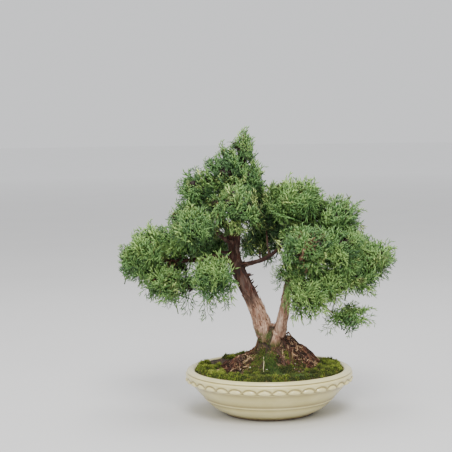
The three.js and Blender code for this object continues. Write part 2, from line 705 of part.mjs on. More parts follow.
function buildFoliage(wood, woodRoom) {
  const woodPiece = { solid: wood, box: wood.boundingBox() };
  const cores = buildCores();
  const placed = cores.map(() => []);
  bunches.forEach((bunch, i) => {
    const random = seeded(500 + i);
    const core = cores[i];
    const free = core.faces.map((face, index) => {
      const middle = new THREE.Vector3();
      face.forEach((corner) => middle.add(core.corners[corner]));
      middle.divideScalar(3);
      const [a, b, c] = face.map((corner) => core.corners[corner]);
      const normal = new THREE.Vector3().crossVectors(b.clone().sub(a), c.clone().sub(a)).normalize();
      return { index, middle, normal };
    });
    for (const even of evenDirections(bunch.sprays, random)) {
      free.sort((a, b) => b.normal.dot(even) - a.normal.dot(even));
      for (let attempt = 0; attempt < ATTEMPTS; attempt += 1) {
        const site = free[Math.floor(attempt / ATTEMPTS_PER_FACE)];
        const drift = new THREE.Vector3(random(-1, 1), random(-1, 1), random(-0.8, 1.2));
        const tangent = drift.cross(site.normal).cross(site.normal).negate().normalize();
        const steep = random(0.5, 0.92);
        const along = site.normal.clone().multiplyScalar(steep)
          .addScaledVector(tangent, Math.sqrt(1 - steep * steep)).normalize();
        const across = new THREE.Vector3().crossVectors(along, site.normal).normalize()
          .applyAxisAngle(along, random(-0.7, 0.7));
        const foot = site.middle.clone().addScaledVector(site.normal, SPRAY_LIFT);
        const fit = reachAlong(foot, along, bunch, random(1.02, 1.14));
        const shorter = attempt % ATTEMPTS_PER_FACE > 6 ? 0.8 : 1;
        const length = Math.min(Math.max(fit, SHORTEST_SPRAY), LONGEST_SPRAY) * shorter;
        const form = sprayForm(sprayOutlines[placed[i].length % 2], foot, along, across, length, random);
        const solid = spraySolid(form);
        const spray = { solid, box: solid.boundingBox(), form, face: site.index };
        const blocked = beyondCrown(spray.box)
          || tooClose(spray, woodPiece, TWIG_GAP)
          || cores.some((other, k) => tooClose(spray, other, k === i ? OWN_CORE_GAP : TWIG_GAP))
          || placed.some((list) => list.some((other) => tooClose(spray, other, TWIG_GAP)));
        if (!blocked) {
          placed[i].push(spray);
          free.splice(free.indexOf(site), 1);
          break;
        }
      }
    }
  });
  return bunches.map((bunch, i) => {
    const core = cores[i];
    const shell = new Shell();
    shell.ring(core.corners);
    core.faces.forEach((face, index) => {
      const spray = placed[i].find((entry) => entry.face === index);
      if (!spray) {
        shell.face(...face);
        return;
      }
      const foot = addSpray(shell, spray.form);
      const pointAt = (corner) => new THREE.Vector3().fromArray(shell.points, corner * 3);
      const twist = (turn) => face.reduce((sum, corner, k) => (
        sum + pointAt(corner).distanceTo(pointAt(foot[(k + turn) % 3]))
      ), 0);
      const best = [0, 1, 2].reduce((least, turn) => (twist(turn) < twist(least) ? turn : least), 0);
      shell.strip(face, [0, 1, 2].map((k) => foot[(k + best) % 3]));
    });
    return { name: bunch.name, solid: largestPiece(shell.solid().subtract(woodRoom)) };
  });
}

// The whole

const tree = new THREE.Group();
tree.name = 'kishu_juniper_bonsai';

const potSolid = buildPot();
const woodSolid = buildWood(0);
const woodRoom = buildWood(GAP);
const soilSolid = buildSoil(woodRoom);

tree.add(meshOf(potSolid, glaze, 'pot'));
tree.add(meshOf(soilSolid, earth, 'soil'));
for (const patch of mossPatches) {
  tree.add(meshOf(buildMoss(patch), moss, patch.name));
}
tree.add(meshOf(woodSolid, bark, 'trunk_and_branches'));
for (const bunch of buildFoliage(woodSolid, woodRoom)) {
  tree.add(meshOf(bunch.solid, foliage, bunch.name));
}

export default tree;
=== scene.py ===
"""Kishu juniper bonsai in an oval pot: the looks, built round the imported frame.

Blender works in metres, +Z up, with the front at -Y. The forms below are drawn in millimetres,
and mesh_from scales them.
"""

import math
from functools import cache

import bpy
import numpy as np
from mathutils import Matrix, Vector
from mathutils.bvhtree import BVHTree


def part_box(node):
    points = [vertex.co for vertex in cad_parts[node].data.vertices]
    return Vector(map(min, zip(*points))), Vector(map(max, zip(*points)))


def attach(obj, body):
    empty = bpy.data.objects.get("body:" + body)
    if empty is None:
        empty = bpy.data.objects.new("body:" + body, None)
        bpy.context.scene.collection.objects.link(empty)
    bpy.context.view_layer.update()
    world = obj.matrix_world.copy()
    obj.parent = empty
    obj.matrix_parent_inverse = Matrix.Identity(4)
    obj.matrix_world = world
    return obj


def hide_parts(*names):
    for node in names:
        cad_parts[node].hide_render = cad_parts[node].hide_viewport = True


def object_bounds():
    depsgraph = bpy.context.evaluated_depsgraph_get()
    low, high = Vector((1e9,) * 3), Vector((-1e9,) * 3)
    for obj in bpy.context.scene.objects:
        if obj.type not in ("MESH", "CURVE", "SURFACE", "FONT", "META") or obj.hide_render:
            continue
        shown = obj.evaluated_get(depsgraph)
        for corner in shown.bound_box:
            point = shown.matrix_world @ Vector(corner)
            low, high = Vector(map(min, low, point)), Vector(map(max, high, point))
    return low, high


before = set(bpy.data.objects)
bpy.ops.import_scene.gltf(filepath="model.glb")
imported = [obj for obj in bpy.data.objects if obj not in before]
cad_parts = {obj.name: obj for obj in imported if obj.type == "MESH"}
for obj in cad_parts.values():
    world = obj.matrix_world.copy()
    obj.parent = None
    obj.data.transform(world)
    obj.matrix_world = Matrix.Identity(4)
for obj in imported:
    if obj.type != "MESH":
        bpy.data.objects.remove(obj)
cad_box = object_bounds()

MM = 0.001
UP = np.array([0.0, 0.0, 1.0])
OVAL = 0.92  # depth of the pot over its width
BODY = "root"

# Foliage and small growth take their colour from a strip of columns: a form lies in one column,
# its own round is the column's width, and its length runs from 0 at the foot to 1 at the tip
COLUMNS = 16
COLUMN_MARGIN = 0.15
STRIP_MAP = "OFBake"


# Repeatable noise and small helpers

random_numbers = np.random.default_rng
GOLDEN_ANGLE = 2.399963
SIDEWAYS = np.array([0.31, 0.17, 0.93])
THIRDS = (0, 2.094, 4.189)


def given(made, **settings):
    """Sets what is named on a node, a modifier, a lamp or a camera."""
    for key, value in settings.items():
        setattr(made, key, value)
    return made


def unit(vectors):
    """Vectors of length 1, along the last axis."""
    vectors = np.asarray(vectors, float)
    return vectors / np.maximum(np.linalg.norm(vectors, axis=-1, keepdims=True), 1e-9)


def smoothstep(low, high, value):
    t = np.clip((value - low) / (high - low), 0, 1)
    return t * t * (3 - 2 * t)


def cell_value(cells, seed):
    """A repeatable number from 0 to 1 for each whole-numbered cell."""
    mixed = cells[..., 0] * 374761393 + cells[..., 1] * 668265263 + cells[..., 2] * 1440662683 + seed * 97463
    mixed = (mixed ^ (mixed >> 13)) * 1274126177
    mixed = mixed ^ (mixed >> 16)
    return (mixed & 0xFFFFFF) / 0xFFFFFF


def noise(points, size, seed=0):
    """Smooth noise from -1 to 1 with bumps of about the given size."""
    scaled = np.asarray(points, float) / size
    base = np.floor(scaled).astype(np.int64)
    part = smoothstep(0, 1, scaled - base)
    total = 0
    for corner in range(8):
        step = np.array([corner & 1, corner >> 1 & 1, corner >> 2 & 1])
        weight = np.prod(np.where(step == 1, part, 1 - part), axis=-1)
        total = total + weight * cell_value(base + step, seed)
    return 2 * total - 1


def even_directions(count, random):
    """Directions spread evenly over a sphere, a little shaken."""
    index = np.arange(count)
    height = 1 - (2 * index + 1) / count
    angle = index * GOLDEN_ANGLE + random.uniform(0, 6.28)
    flat = np.sqrt(1 - height**2)
    spread = np.stack([flat * np.cos(angle), flat * np.sin(angle), height], 1)
    return unit(spread + random.normal(0, 0.6 / math.sqrt(count), spread.shape))


def oval_point(radius, angle):
    return radius * np.cos(angle), OVAL * radius * np.sin(angle)


def oval_radius(x, y):
    return np.hypot(x, y / OVAL)


def on_plan(x, y):
    """Points at no height, for noise that depends on the place from above alone."""
    return np.stack([x, y, np.zeros(len(x))], -1)


def scatter(random, count, low_radius, high_radius, centre=(0.0, 0.0)):
    """Points spread over an oval ring."""
    radius = np.sqrt(random.uniform(low_radius**2, high_radius**2, count))
    x, y = oval_point(radius, random.uniform(0, 2 * math.pi, count))
    return centre[0] + x, centre[1] + y


# Forms

class Form:
    """Points, triangles and the place round and along of each triangle's corners, or of all alike."""

    def __init__(self, points, triangles, corners, column=0):
        self.points = np.asarray(points, float)
        self.triangles = np.asarray(triangles, np.int64)
        count = len(self.triangles)
        self.corners = np.broadcast_to(np.asarray(corners, float), (count, 3, 2))
        self.column = np.broadcast_to(column, count)


class Batch:
    """Forms gathered into one mesh."""

    def __init__(self):
        self.forms = []
        self.size = 0

    def add(self, form, column=0, points=None):
        """Adds a form, perhaps moved. Column is one number, or one for each small form in it."""
        points = form.points if points is None else points
        column = form.column + np.repeat(column, len(form.triangles) // np.size(column))
        self.forms.append((points, form.triangles + self.size, form.corners, column))
        self.size += len(points)

    def whole(self):
        points, triangles, corners, column = (np.concatenate(part) for part in zip(*self.forms))
        return Form(points, triangles, corners, column)


@cache
def tube_faces(rings, sides):
    """Triangles and corner places of a tube of rings that ends in a point."""
    triangles = []
    corners = []
    top = (rings - 1) / rings
    for i in range(sides):
        left, right = i / sides, (i + 1) / sides
        j = (i + 1) % sides
        for r in range(rings - 1):
            low, high = r / rings, (r + 1) / rings
            a, b, c, d = r * sides + i, r * sides + j, (r + 1) * sides + j, (r + 1) * sides + i
            triangles += [(a, b, c), (a, c, d)]
            corners += [((left, low), (right, low), (right, high)),
                        ((left, low), (right, high), (left, high))]
        triangles.append(((rings - 1) * sides + i, (rings - 1) * sides + j, rings * sides))
        corners.append(((left, top), (right, top), ((left + right) / 2, 1)))
    for i in range(1, sides - 1):
        triangles.append((0, i + 1, i))
        corners.append(((0, 0), (1, 0), (0.5, 0.04)))
    return np.array(triangles), np.array(corners, float)


UPWARDS = [0, 2, 1]  # turns the triangles of ring_faces over, for rings that run upwards


def ring_faces(rings, sides, middles=True):
    """Triangles of a body of rings that run downwards. Its ends are closed by fans or by two middle
    points, which come after the rings."""
    grid = np.arange(rings * sides).reshape(rings, sides)
    after = np.roll(grid, -1, axis=1)
    corners = [(grid[:-1], grid[1:], after[1:]), (grid[:-1], after[1:], after[:-1])]
    if middles:
        corners += [(grid.size, grid[0], after[0]), (grid[-1], grid.size + 1, after[-1])]
    else:
        corners += [(grid[0, 0], grid[0, 1:-1], grid[0, 2:]), (grid[-1, 0], grid[-1, 2:], grid[-1, 1:-1])]
    return np.concatenate([np.stack(np.broadcast_arrays(*three), -1).reshape(-1, 3) for three in corners])


def cord(path, radii, sides=3):
    """A closed, tapering cord along a path, which ends in a point."""
    path = np.asarray(path, float)
    rings = len(path) - 1
    along = unit(np.gradient(path, axis=0))[:-1]
    helper = SIDEWAYS if abs(along[0][2]) < 0.8 else np.array([0.9, 0.3, 0.2])
    across = unit(np.cross(helper, along))
    over = np.cross(along, across)
    angle = np.arange(sides)[:, None] * 2 * math.pi / sides
    reach = np.asarray(radii, float)[:rings, None, None]
    ring = path[:-1, None] + reach * (np.cos(angle) * across[:, None] + np.sin(angle) * over[:, None])
    return Form(np.vstack([ring.reshape(-1, 3), path[-1:]]), *tube_faces(rings, sides))


def three_round(middles, along, helper, radius):
    """Three points round each middle, square to the way along."""
    across = unit(np.cross(along, helper))
    over = np.cross(along, across)
    radius = np.broadcast_to(radius, len(middles))[:, None]
    return [middles + radius * (math.cos(a) * across + math.sin(a) * over) for a in THIRDS]


def copies(points, triangles, corners):
    """One form of many small ones alike, from the points of each."""
    count, size = points.shape[:2]
    triangles = triangles + size * np.arange(count)[:, None, None]
    return Form(points.reshape(-1, 3), triangles.reshape(-1, 3), np.tile(corners, (count, 1, 1)))


def spikes(feet, tips, radius, random):
    """Many small three-sided spikes at once."""
    ring = three_round(feet, unit(tips - feet), random.normal(size=feet.shape), radius)
    return copies(np.stack([*ring, tips], 1), *tube_faces(1, 3))


def spindles(feet, middles, tips, radii):
    """Many closed cords at once, three-sided, pointed at both ends and thickest at their middle points."""
    feet, middles, tips = np.array(feet), np.array(middles), np.array(tips)
    ring = three_round(middles, unit(tips - feet), SIDEWAYS, radii)
    triangles = []
    corners = []
    for i in range(3):
        left, right = i / 3, (i + 1) / 3
        this, following = 1 + i, 1 + (i + 1) % 3
        triangles += [(0, following, this), (this, following, 4)]
        corners += [((left, 0), (right, 0.6), (left, 0.6)), ((left, 0.6), (right, 0.6), (left, 1))]
    return copies(np.stack([feet, *ring, tips], 1), np.array(triangles), np.array(corners, float))


def leaning(random, x, y, z, rise, slant):
    """Feet and tips of stems that stand at random slants."""
    lean = random.normal(0, slant, (len(x), 2)) * rise[:, None]
    feet = np.stack([x, y, z - 0.5], -1)
    return feet, feet + np.stack([lean[:, 0], lean[:, 1], rise], -1)


def lump(random, size):
    """A small rough grain with 20 faces."""
    golden = (1 + 5**0.5) / 2
    points = np.array([
        (-1, golden, 0), (1, golden, 0), (-1, -golden, 0), (1, -golden, 0),
        (0, -1, golden), (0, 1, golden), (0, -1, -golden), (0, 1, -golden),
        (golden, 0, -1), (golden, 0, 1), (-golden, 0, -1), (-golden, 0, 1)], float)
    triangles = [
        (0, 11, 5), (0, 5, 1), (0, 1, 7), (0, 7, 10), (0, 10, 11), (1, 5, 9), (5, 11, 4), (11, 10, 2),
        (10, 7, 6), (7, 1, 8), (3, 9, 4), (3, 4, 2), (3, 2, 6), (3, 6, 8), (3, 8, 9), (4, 9, 5),
        (2, 4, 11), (6, 2, 10), (8, 6, 7), (9, 8, 1)]
    points = unit(points) * random.uniform(0.75, 1.2, (12, 1)) * random.uniform(0.65, 1.15, 3)
    return Form(points * size / 2, triangles, [(0, 0), (1, 0), (0.5, 1)])


# Pieces

def new_object(name, data):
    made = bpy.data.objects.new(name, data)
    bpy.context.scene.collection.objects.link(made)
    return made


def mesh_from(name, points, triangles):
    """A Blender mesh from points in millimetres."""
    mesh = bpy.data.meshes.new(name)
    mesh.vertices.add(len(points))
    mesh.vertices.foreach_set("co", (np.asarray(points) * MM).astype(np.float32).ravel())
    mesh.loops.add(triangles.size)
    mesh.loops.foreach_set("vertex_index", triangles.astype(np.int32).ravel())
    mesh.polygons.add(len(triangles))
    mesh.polygons.foreach_set("loop_start", np.arange(0, triangles.size, 3, dtype=np.int32))
    mesh.update(calc_edges=True)
    return mesh


def show(name, mesh, material, replaced=None, smooth=True):
    """Puts a mesh in the scene as a piece of the object."""
    mesh.polygons.foreach_set("use_smooth", np.full(len(mesh.polygons), smooth))
    mesh.materials.clear()
    mesh.materials.append(material)
    piece = new_object(name, mesh)
    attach(piece, BODY)
    if replaced:
        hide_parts(replaced)


def show_form(name, form, material, replaced=None, smooth=True):
    """Shows a form that is coloured by the strip."""
    mesh = mesh_from(name, form.points, form.triangles)
    width = COLUMN_MARGIN + form.corners[..., 0] * (1 - 2 * COLUMN_MARGIN)
    across = (np.clip(form.column, 0, COLUMNS - 1)[:, None] + width) / COLUMNS
    places = np.stack([across, np.clip(form.corners[..., 1], 0.01, 0.99)], -1)
    mesh.uv_layers.new(name=STRIP_MAP).data.foreach_set("uv", places.astype(np.float32).ravel())
    show(name, mesh, material, replaced, smooth)


def point_values(mesh, name, values):
    """Keeps a number for each point, which a material can read."""
    mesh.attributes.new(name, "FLOAT", "POINT").data.foreach_set("value", values.astype(np.float32))


def read(items, name, size, kind):
    values = np.empty(len(items) * size, kind)
    items.foreach_get(name, values)
    return values.reshape(-1, size)


def mesh_arrays(mesh):
    """Points in millimetres, their normals, and edges."""
    points, normals = (read(mesh.vertices, name, 3, np.float32).astype(float) for name in ("co", "normal"))
    return points / MM, normals, read(mesh.edges, "vertices", 2, np.int32)


def neighbour_mean(values, edges, weights=None):
    """Mean of each point's neighbours, with a weight for each edge."""
    count = len(values)
    numbers = values.reshape(count, -1)
    weights = np.ones(len(edges)) if weights is None else weights
    first, second = edges[:, 0], edges[:, 1]

    def gathered(at_first, at_second):
        return np.bincount(first, at_second, count) + np.bincount(second, at_first, count)

    sums = [gathered(weights * number[first], weights * number[second]) for number in numbers.T]
    total = np.maximum(gathered(weights, weights), 1e-9)
    return (np.stack(sums, -1) / total[:, None]).reshape(values.shape)


def blurred(values, edges, steps, share=0.5, weights=None):
    for _ in range(steps):
        values = (1 - share) * values + share * neighbour_mean(values, edges, weights)
    return values


def applied(thing, *others):
    """The mesh of a thing with its modifiers. The thing and the others are removed."""
    graph = bpy.context.evaluated_depsgraph_get()
    mesh = bpy.data.meshes.new_from_object(thing.evaluated_get(graph))
    for done in (thing, *others):
        bpy.data.objects.remove(done)
    return mesh


def ray_tree(mesh):
    """For casting rays at a mesh, in metres."""
    return BVHTree.FromPolygons([v.co for v in mesh.vertices], [p.vertices for p in mesh.polygons])


# Materials

class Shader:
    """A short way to write a material's nodes."""

    def __init__(self, name):
        self.material = bpy.data.materials.new(name)
        self.material.use_nodes = True
        self.nodes = self.material.node_tree.nodes
        self.surface = self.nodes["Principled BSDF"]

    def node(self, kind, **settings):
        return given(self.nodes.new("ShaderNode" + kind), **settings)

    def feed(self, socket, source):
        """Links a socket, or sets it where the source is a plain value."""
        if isinstance(source, bpy.types.NodeSocket):
            self.material.node_tree.links.new(source, socket)
        else:
            socket.default_value = source

    def math(self, operation, first, second=0.0, clamp=False):
        made = self.node("Math", operation=operation, use_clamp=clamp)
        self.feed(made.inputs[0], first)
        self.feed(made.inputs[1], second)
        return made.outputs[0]

    def times(self, first, second, clamp=False):
        return self.math("MULTIPLY", first, second, clamp)

    def plus(self, first, second):
        return self.math("ADD", first, second)

    def ramp(self, factor, stops, interpolation="LINEAR"):
        made = self.node("ValToRGB")
        made.color_ramp.interpolation = interpolation
        elements = made.color_ramp.elements
        while len(elements) < len(stops):
            elements.new(0.5)
        for element, (place, colour) in zip(elements, stops):
            element.position = place
            element.color = colour
        self.feed(made.inputs[0], factor)
        return made.outputs[0]

    def mix(self, factor, first, second, blend="MIX"):
        made = self.node("Mix", data_type="RGBA", blend_type=blend)
        for socket, source in ((0, factor), (6, first), (7, second)):
            self.feed(made.inputs[socket], source)
        return made.outputs[2]

    def value(self, name):
        return self.node("Attribute", attribute_name=name).outputs["Fac"]

    def place(self):
        return self.node("TexCoord").outputs["Object"]

    def noise(self, size_mm, detail):
        made = self.node("TexNoise")
        made.inputs["Scale"].default_value = 1 / (size_mm * MM)
        made.inputs["Detail"].default_value = detail
        self.feed(made.inputs["Vector"], self.place())
        return made.outputs[0]

    def clouds(self, size_mm, detail, stops):
        return self.ramp(self.noise(size_mm, detail), stops)

    def mottled(self, colour, size_mm, detail, *levels):
        """A colour made darker and lighter by noise."""
        return self.mix(1.0, colour, self.clouds(size_mm, detail, greys(*levels)), "MULTIPLY")

    def distance(self, reach):
        """How far a place is from the origin, as a share of the reach in metres."""
        length = self.node("VectorMath", operation="LENGTH")
        self.feed(length.inputs[0], self.place())
        return self.math("DIVIDE", length.outputs["Value"], reach)

    def bump(self, height, distance_mm, strength):
        made = self.node("Bump")
        for name, source in (("Distance", distance_mm * MM), ("Strength", strength), ("Height", height)):
            self.feed(made.inputs[name], source)
        self.feed(self.surface.inputs["Normal"], made.outputs[0])

    def finish(self, colour, roughness):
        self.feed(self.surface.inputs["Base Color"], colour)
        self.feed(self.surface.inputs["Roughness"], roughness)
        return self.material


def rgb(red, green, blue):
    """A colour as seen on a screen, 0 to 255, for a shader."""
    shares = [c / 255 for c in (red, green, blue)]
    return (*(c / 12.92 if c < 0.04045 else ((c + 0.055) / 1.055) ** 2.4 for c in shares), 1)


def greys(*levels):
    """A ramp's stops from places and levels of grey."""
    return [(place, (level, level, level, 1)) for place, level in levels]


def strip_material(name, columns, along, roughness, tips=None):
    """Colour by column, darker or lighter along the form, perhaps with a share of a tint at the tip."""
    shader = Shader(name)
    split = shader.node("SeparateXYZ")
    shader.feed(split.inputs[0], shader.node("UVMap", uv_map=STRIP_MAP).outputs[0])
    across, length = split.outputs[0], split.outputs[1]
    stops = [(i / COLUMNS, rgb(*column)) for i, column in enumerate(columns)]
    colour = shader.ramp(across, stops, "CONSTANT")
    colour = shader.mix(1.0, colour, shader.ramp(length, greys(*along)), "MULTIPLY")
    if tips:
        share, tint = tips
        colour = shader.mix(shader.times(shader.math("POWER", length, 3.0), share), colour, rgb(*tint))
    shader.surface.inputs["Specular IOR Level"].default_value = 0.3
    return shader.finish(colour, shader.plus(shader.times(length, -0.12), roughness))


# Foliage columns: 0 to 10 go from deep green to yellow-green, 11 and 12 are olive,
# and 13 to 15 are the bark of fine twigs
OLIVE_COLUMN = 11
TWIG_COLUMN = 13
# Along each form the colour runs from near black at the foot, painted shade deep in the bunches, to lighter
# at the tip. The light tip and its pale tint are partly the paler young growth and partly painted highlight.
foliage_material = strip_material(
    "juniper_foliage",
    [(40, 74, 44), (50, 87, 50), (61, 100, 55), (73, 113, 60), (86, 126, 65), (99, 138, 71),
     (113, 150, 77), (128, 162, 84), (143, 174, 92), (160, 186, 101), (178, 199, 113),
     (80, 95, 45), (86, 102, 49), (98, 66, 48), (124, 84, 60), (74, 50, 40)],
    [(0, 0.2), (0.22, 0.66), (0.55, 1.12), (1, 1.28)], 0.6, (0.2, (196, 214, 158)))

# Ground columns: 0 to 5 are soil, 6 to 9 bark and fibres, 10 and 11 pumice, 12 is the pale root,
# and 13 and 14 are dark roots and fibres
PUMICE_COLUMN = 10
PALE_ROOT_COLUMN = 12
ground_material = strip_material(
    "grains_and_fibres",
    [(44, 30, 20), (58, 40, 27), (74, 52, 35), (92, 66, 45), (110, 82, 58), (130, 102, 76),
     (88, 54, 42), (118, 80, 60), (152, 118, 86), (184, 152, 116), (170, 160, 144),
     (196, 188, 172), (206, 192, 152), (58, 42, 36), (80, 56, 46), (60, 70, 30)],
    [(0, 0.82), (0.5, 1), (1, 1.1)], 0.88)

# Moss columns: 0 to 8 go from dark to pale, 9 is dry, and 10 to 13 are the greens of grassy tufts
DRY_MOSS_COLUMN = 9
# Along each stem the colour runs from dark at the foot, painted shade down among the stems, to lighter at the
# tip.
moss_material = strip_material(
    "moss",
    [(22, 28, 8), (32, 40, 11), (44, 54, 14), (58, 70, 18), (74, 88, 23), (91, 106, 29),
     (110, 126, 37), (130, 144, 48), (150, 158, 64), (128, 106, 52), (22, 46, 18), (31, 62, 23),
     (44, 82, 31), (76, 110, 62), (100, 80, 46), (70, 54, 32)],
    [(0, 0.3), (0.4, 0.8), (1, 1.25)], 0.9, (0.24, (176, 186, 84)))


# Foliage sprays: a stem with shoots round it, and cord-like twiglets on these, in millimetres

def grow_spray(random, length, shoots, spread, flatness, thick, twiglet_length):
    """Grows along +Y and faces +Z. A flat spray has its shoots on two sides only."""
    arch = random.uniform(-0.08, 0.14) * length
    sway = random.uniform(-0.07, 0.07) * length
    cords = []

    def stem_at(t):
        return np.array([sway * math.sin(3.1 * t), t * length, arch * t * t])

    def add_cord(foot, tip, thickest, radius):
        cords.append((foot, foot + thickest * (tip - foot), tip, radius, int(random.integers(-1, 2))))

    for i in range(shoots):
        t = 0.12 + 0.78 * (i + random.uniform(-0.25, 0.25)) / (shoots - 1)
        round_stem = (i % 2) * math.pi + random.normal(0, 1.1 * (1 - flatness) + 0.15)
        aside = np.array([math.cos(round_stem), 0, math.sin(round_stem)])
        size = length * (0.62 - 0.32 * t) * random.uniform(0.8, 1.2)
        angle = math.radians(random.uniform(24, 46)) * spread
        way = unit(aside * math.sin(angle) + np.array([0, math.cos(angle), 0]))
        base = stem_at(t)
        tip = base + way * size + np.array([0, 0.16 * size, 0])
        add_cord(base, tip, 0.62, thick * 1.12)
        count = max(2, int(round(size / 6)))
        for k in range(count):
            share = 0.18 + 0.62 * (k + random.uniform(0, 0.7)) / count
            turn = (1 if k % 2 else -1) * math.radians(random.uniform(28, 52))
            sideways = unit(np.cross(way, UP + random.normal(0, 0.5 * (1 - flatness), 3)))
            reach = twiglet_length * random.uniform(0.75, 1.2)
            foot = base + (tip - base) * share
            add_cord(foot, foot + unit(way * math.cos(turn) + sideways * math.sin(turn)) * reach, 0.55, thick)
    batch = Batch()
    batch.add(cord([stem_at(t) for t in (0, 0.6, 1)], [thick * 1.1, thick, 0]))
    *places, columns = zip(*cords)
    batch.add(spindles(*places), columns)
    return batch.whole()


spray_random = random_numbers(7)
DENSE_LENGTH = 27.0
LACY_LENGTH = 34.0
dense_sprays = [grow_spray(spray_random, DENSE_LENGTH, 7, 1.0, 0.6, 0.78, 8.0) for _ in range(20)]
slim_sprays = [grow_spray(spray_random, DENSE_LENGTH, 7, 0.55, 0.4, 0.75, 5.4) for _ in range(5)]
lacy_sprays = [grow_spray(spray_random, LACY_LENGTH, 9, 1.25, 0.9, 0.64, 7.0) for _ in range(12)]


def placed(form, foot, along, facing, scale, droop):
    """A spray's points where it grows, bent down a little towards its tip."""
    along = unit(along)
    facing = unit(facing - np.dot(facing, along) * along)
    across = np.cross(along, facing)
    local = form.points * scale
    points = foot + local[:, :1] * across + local[:, 1:2] * along + local[:, 2:] * facing
    points[:, 2] -= droop * (local[:, 1] / 10) ** 2
    return points


# Character of the bunches: shift of colour, shares of olive and of rusty sprays, how far lacy
# sprays hang out below, how much narrower the bunch is at its top, how its half extents are
# fitted and its centre moved, how densely it grows, and whether it is open, without a core

PLAIN = dict(tone=0, olive=0.04, rusty=0, lace=3, taper=0, fit=(0.93, 0.93, 0.93), move=(0, 0, 0), density=1,
             open=False)
# The darker tones of the bunches at the back are partly painted shade, and the raised tone of low_right_spray
# is painted light against the shade of the bunches above it.
CHARACTERS = {
    "apex": dict(olive=0, lace=0, taper=0.7, fit=(0.6, 0.6, 0.86), move=(-5, 0, -5)),
    "crown_left": dict(tone=-1, lace=0, taper=0.1),
    "crown_right": dict(tone=-1, olive=0.02, lace=0, taper=0.2, fit=(0.66, 0.9, 0.9), move=(-3, 0, -2)),
    "shoulder_left": dict(tone=-1, olive=0.02, fit=(0.93, 0.93, 0.8)),
    "centre_front": dict(olive=0.16, lace=4, fit=(0.86, 0.7, 1.05), move=(3, 0, 1), density=0.8),
    "far_left_top": dict(tone=1, fit=(0.93, 0.9, 0.74), move=(3, 0, -3)),
    "far_left_tip": dict(lace=2, fit=(0.93, 0.93, 0.88), move=(0, 0, 2)),
    "left_under": dict(olive=0.08, rusty=0.04, lace=4, fit=(0.95, 0.93, 0.76)),
    "low_left_ball": dict(lace=6, fit=(0.95, 0.93, 0.8), move=(3, 0, 2)),
    "left_back_low": dict(tone=-2, olive=0.1, lace=9),
    "centre_behind": dict(tone=-2, olive=0.12, lace=5),
    "centre_low_back": dict(tone=-3, olive=0.1, lace=7, density=0.78, open=True),
    "right_front_centre": dict(tone=-0.6, olive=0.12, rusty=0.08, lace=4),
    "right_dome": dict(tone=0.7, olive=0.06, move=(-2, 0, -1)),
    "right_low": dict(tone=0.7, lace=1, fit=(0.93, 0.93, 0.8), move=(3, 0, 2)),
    "right_low_mid": dict(tone=1.8, lace=2, fit=(0.93, 0.93, 0.78), move=(0, 0, 4)),
    "right_low_front": dict(tone=1.7, lace=9, fit=(0.62, 0.88, 0.98), move=(5, 0, -1)),
    "right_tip": dict(fit=(0.91, 0.93, 0.82)),
    "right_upper": dict(fit=(0.8, 0.93, 0.97), move=(-3, 0, 2)),
    "low_right_spray": dict(tone=1, lace=1, fit=(0.98, 0.8, 0.42), move=(3, 0, -1), density=0.8, open=True),
    "inner_sprig": dict(lace=1, fit=(0.36, 0.5, 0.62), move=(6, -4, -6), open=True),
}

# Smaller lobes that close the gaps between the bunches: centre and half extents
SIDE_LOBES = {
    "crown_left": [(-69, 0, 309, 8, 9, 9)],
    "apex": [(-26, 0, 339, 7, 8, 10), (-37, 0, 331, 10, 11, 9), (-52, 0, 322, 9, 10, 9),
             (-43, -2, 321, 11, 13, 9)],
    "shoulder_left": [(-71, -6, 288, 14, 17, 13), (-100, -4, 277, 6, 9, 6)],
    "centre_front": [(-43, -38, 236, 15, 14, 12), (-38, -24, 276, 20, 14, 18), (-62, -22, 262, 13, 13, 13),
                     (-58, -20, 235, 9, 11, 11)],
    "centre_low_back": [(14, 34, 224, 16, 18, 14), (-27, 30, 208, 13, 13, 18)],
    "left_inner": [(-131, -14, 222, 14, 15, 12), (-111, -10, 245, 11, 12, 13)],
    "left_under": [(-108, -4, 183, 13, 13, 10), (-96, -8, 160, 11, 12, 14)],
    "far_left_tip": [(-172, -8, 203, 10, 13, 12)],
    "right_dome": [(34, -12, 222, 18, 16, 15), (14, -2, 276, 12, 14, 10)],
    "right_upper": [(66, -6, 256, 14, 16, 12)],
    "right_front_centre": [(46, -38, 186, 22, 20, 14)],
    "right_low": [(121, -10, 164, 14, 16, 12)],
    "right_low_front": [(27, -28, 180, 13, 13, 16), (31, -36, 160, 14, 14, 14)],
}

# Single shoots that stand out of the bunches: foot and tip
LONG_SHOOTS = {
    "apex": [(-26, 0, 324, -23.6, 0, 355.3), (-30, -3, 318, -33, -3, 344), (-19, 2, 312, -19, 2, 336),
             (-52, 0, 314, -55, 0, 334), (-27, 3, 322, -28, 3, 348)],
    "shoulder_left": [(-86, -3, 282, -89, -3, 302), (-104, -4, 272, -109, -4, 287)],
    "far_left_top": [(-140, -14, 214, -144, -14, 238), (-158, -14, 206, -164, -14, 225)],
    "right_upper": [(92, -8, 244, 113, -8, 259), (94, -8, 238, 115, -8, 250)],
    "right_tip": [(134, -6, 189, 157, -6, 203), (136, -6, 181, 158, -6, 190)],
    "left_under": [(-96, -4, 160, -98, -4, 126), (-118, -18, 160, -124, -18, 137),
                   (-134, -16, 166, -143, -16, 147)],
    "low_left_ball": [(-74, -30, 158, -74, -30, 124), (-60, -36, 158, -52, -38, 138)],
    "right_low_front": [(46, -36, 150, 50, -36, 121), (36, -34, 150, 33, -34, 124)],
    "low_right_spray": [(98, -12, 122, 127, -12, 117), (98, -14, 124, 125, -14, 129),
                        (94, -12, 120, 104, -12, 136), (88, -12, 119, 69, -12, 102),
                        (98, -14, 118, 99, -14, 98), (84, -12, 121, 70, -12, 117)],
    "inner_sprig": [(18, -22, 177, 5, -24, 182), (18, -22, 174, 4, -24, 174), (18, -22, 170, 6, -24, 165),
                    (18, -24, 168, 10, -26, 157)],
}

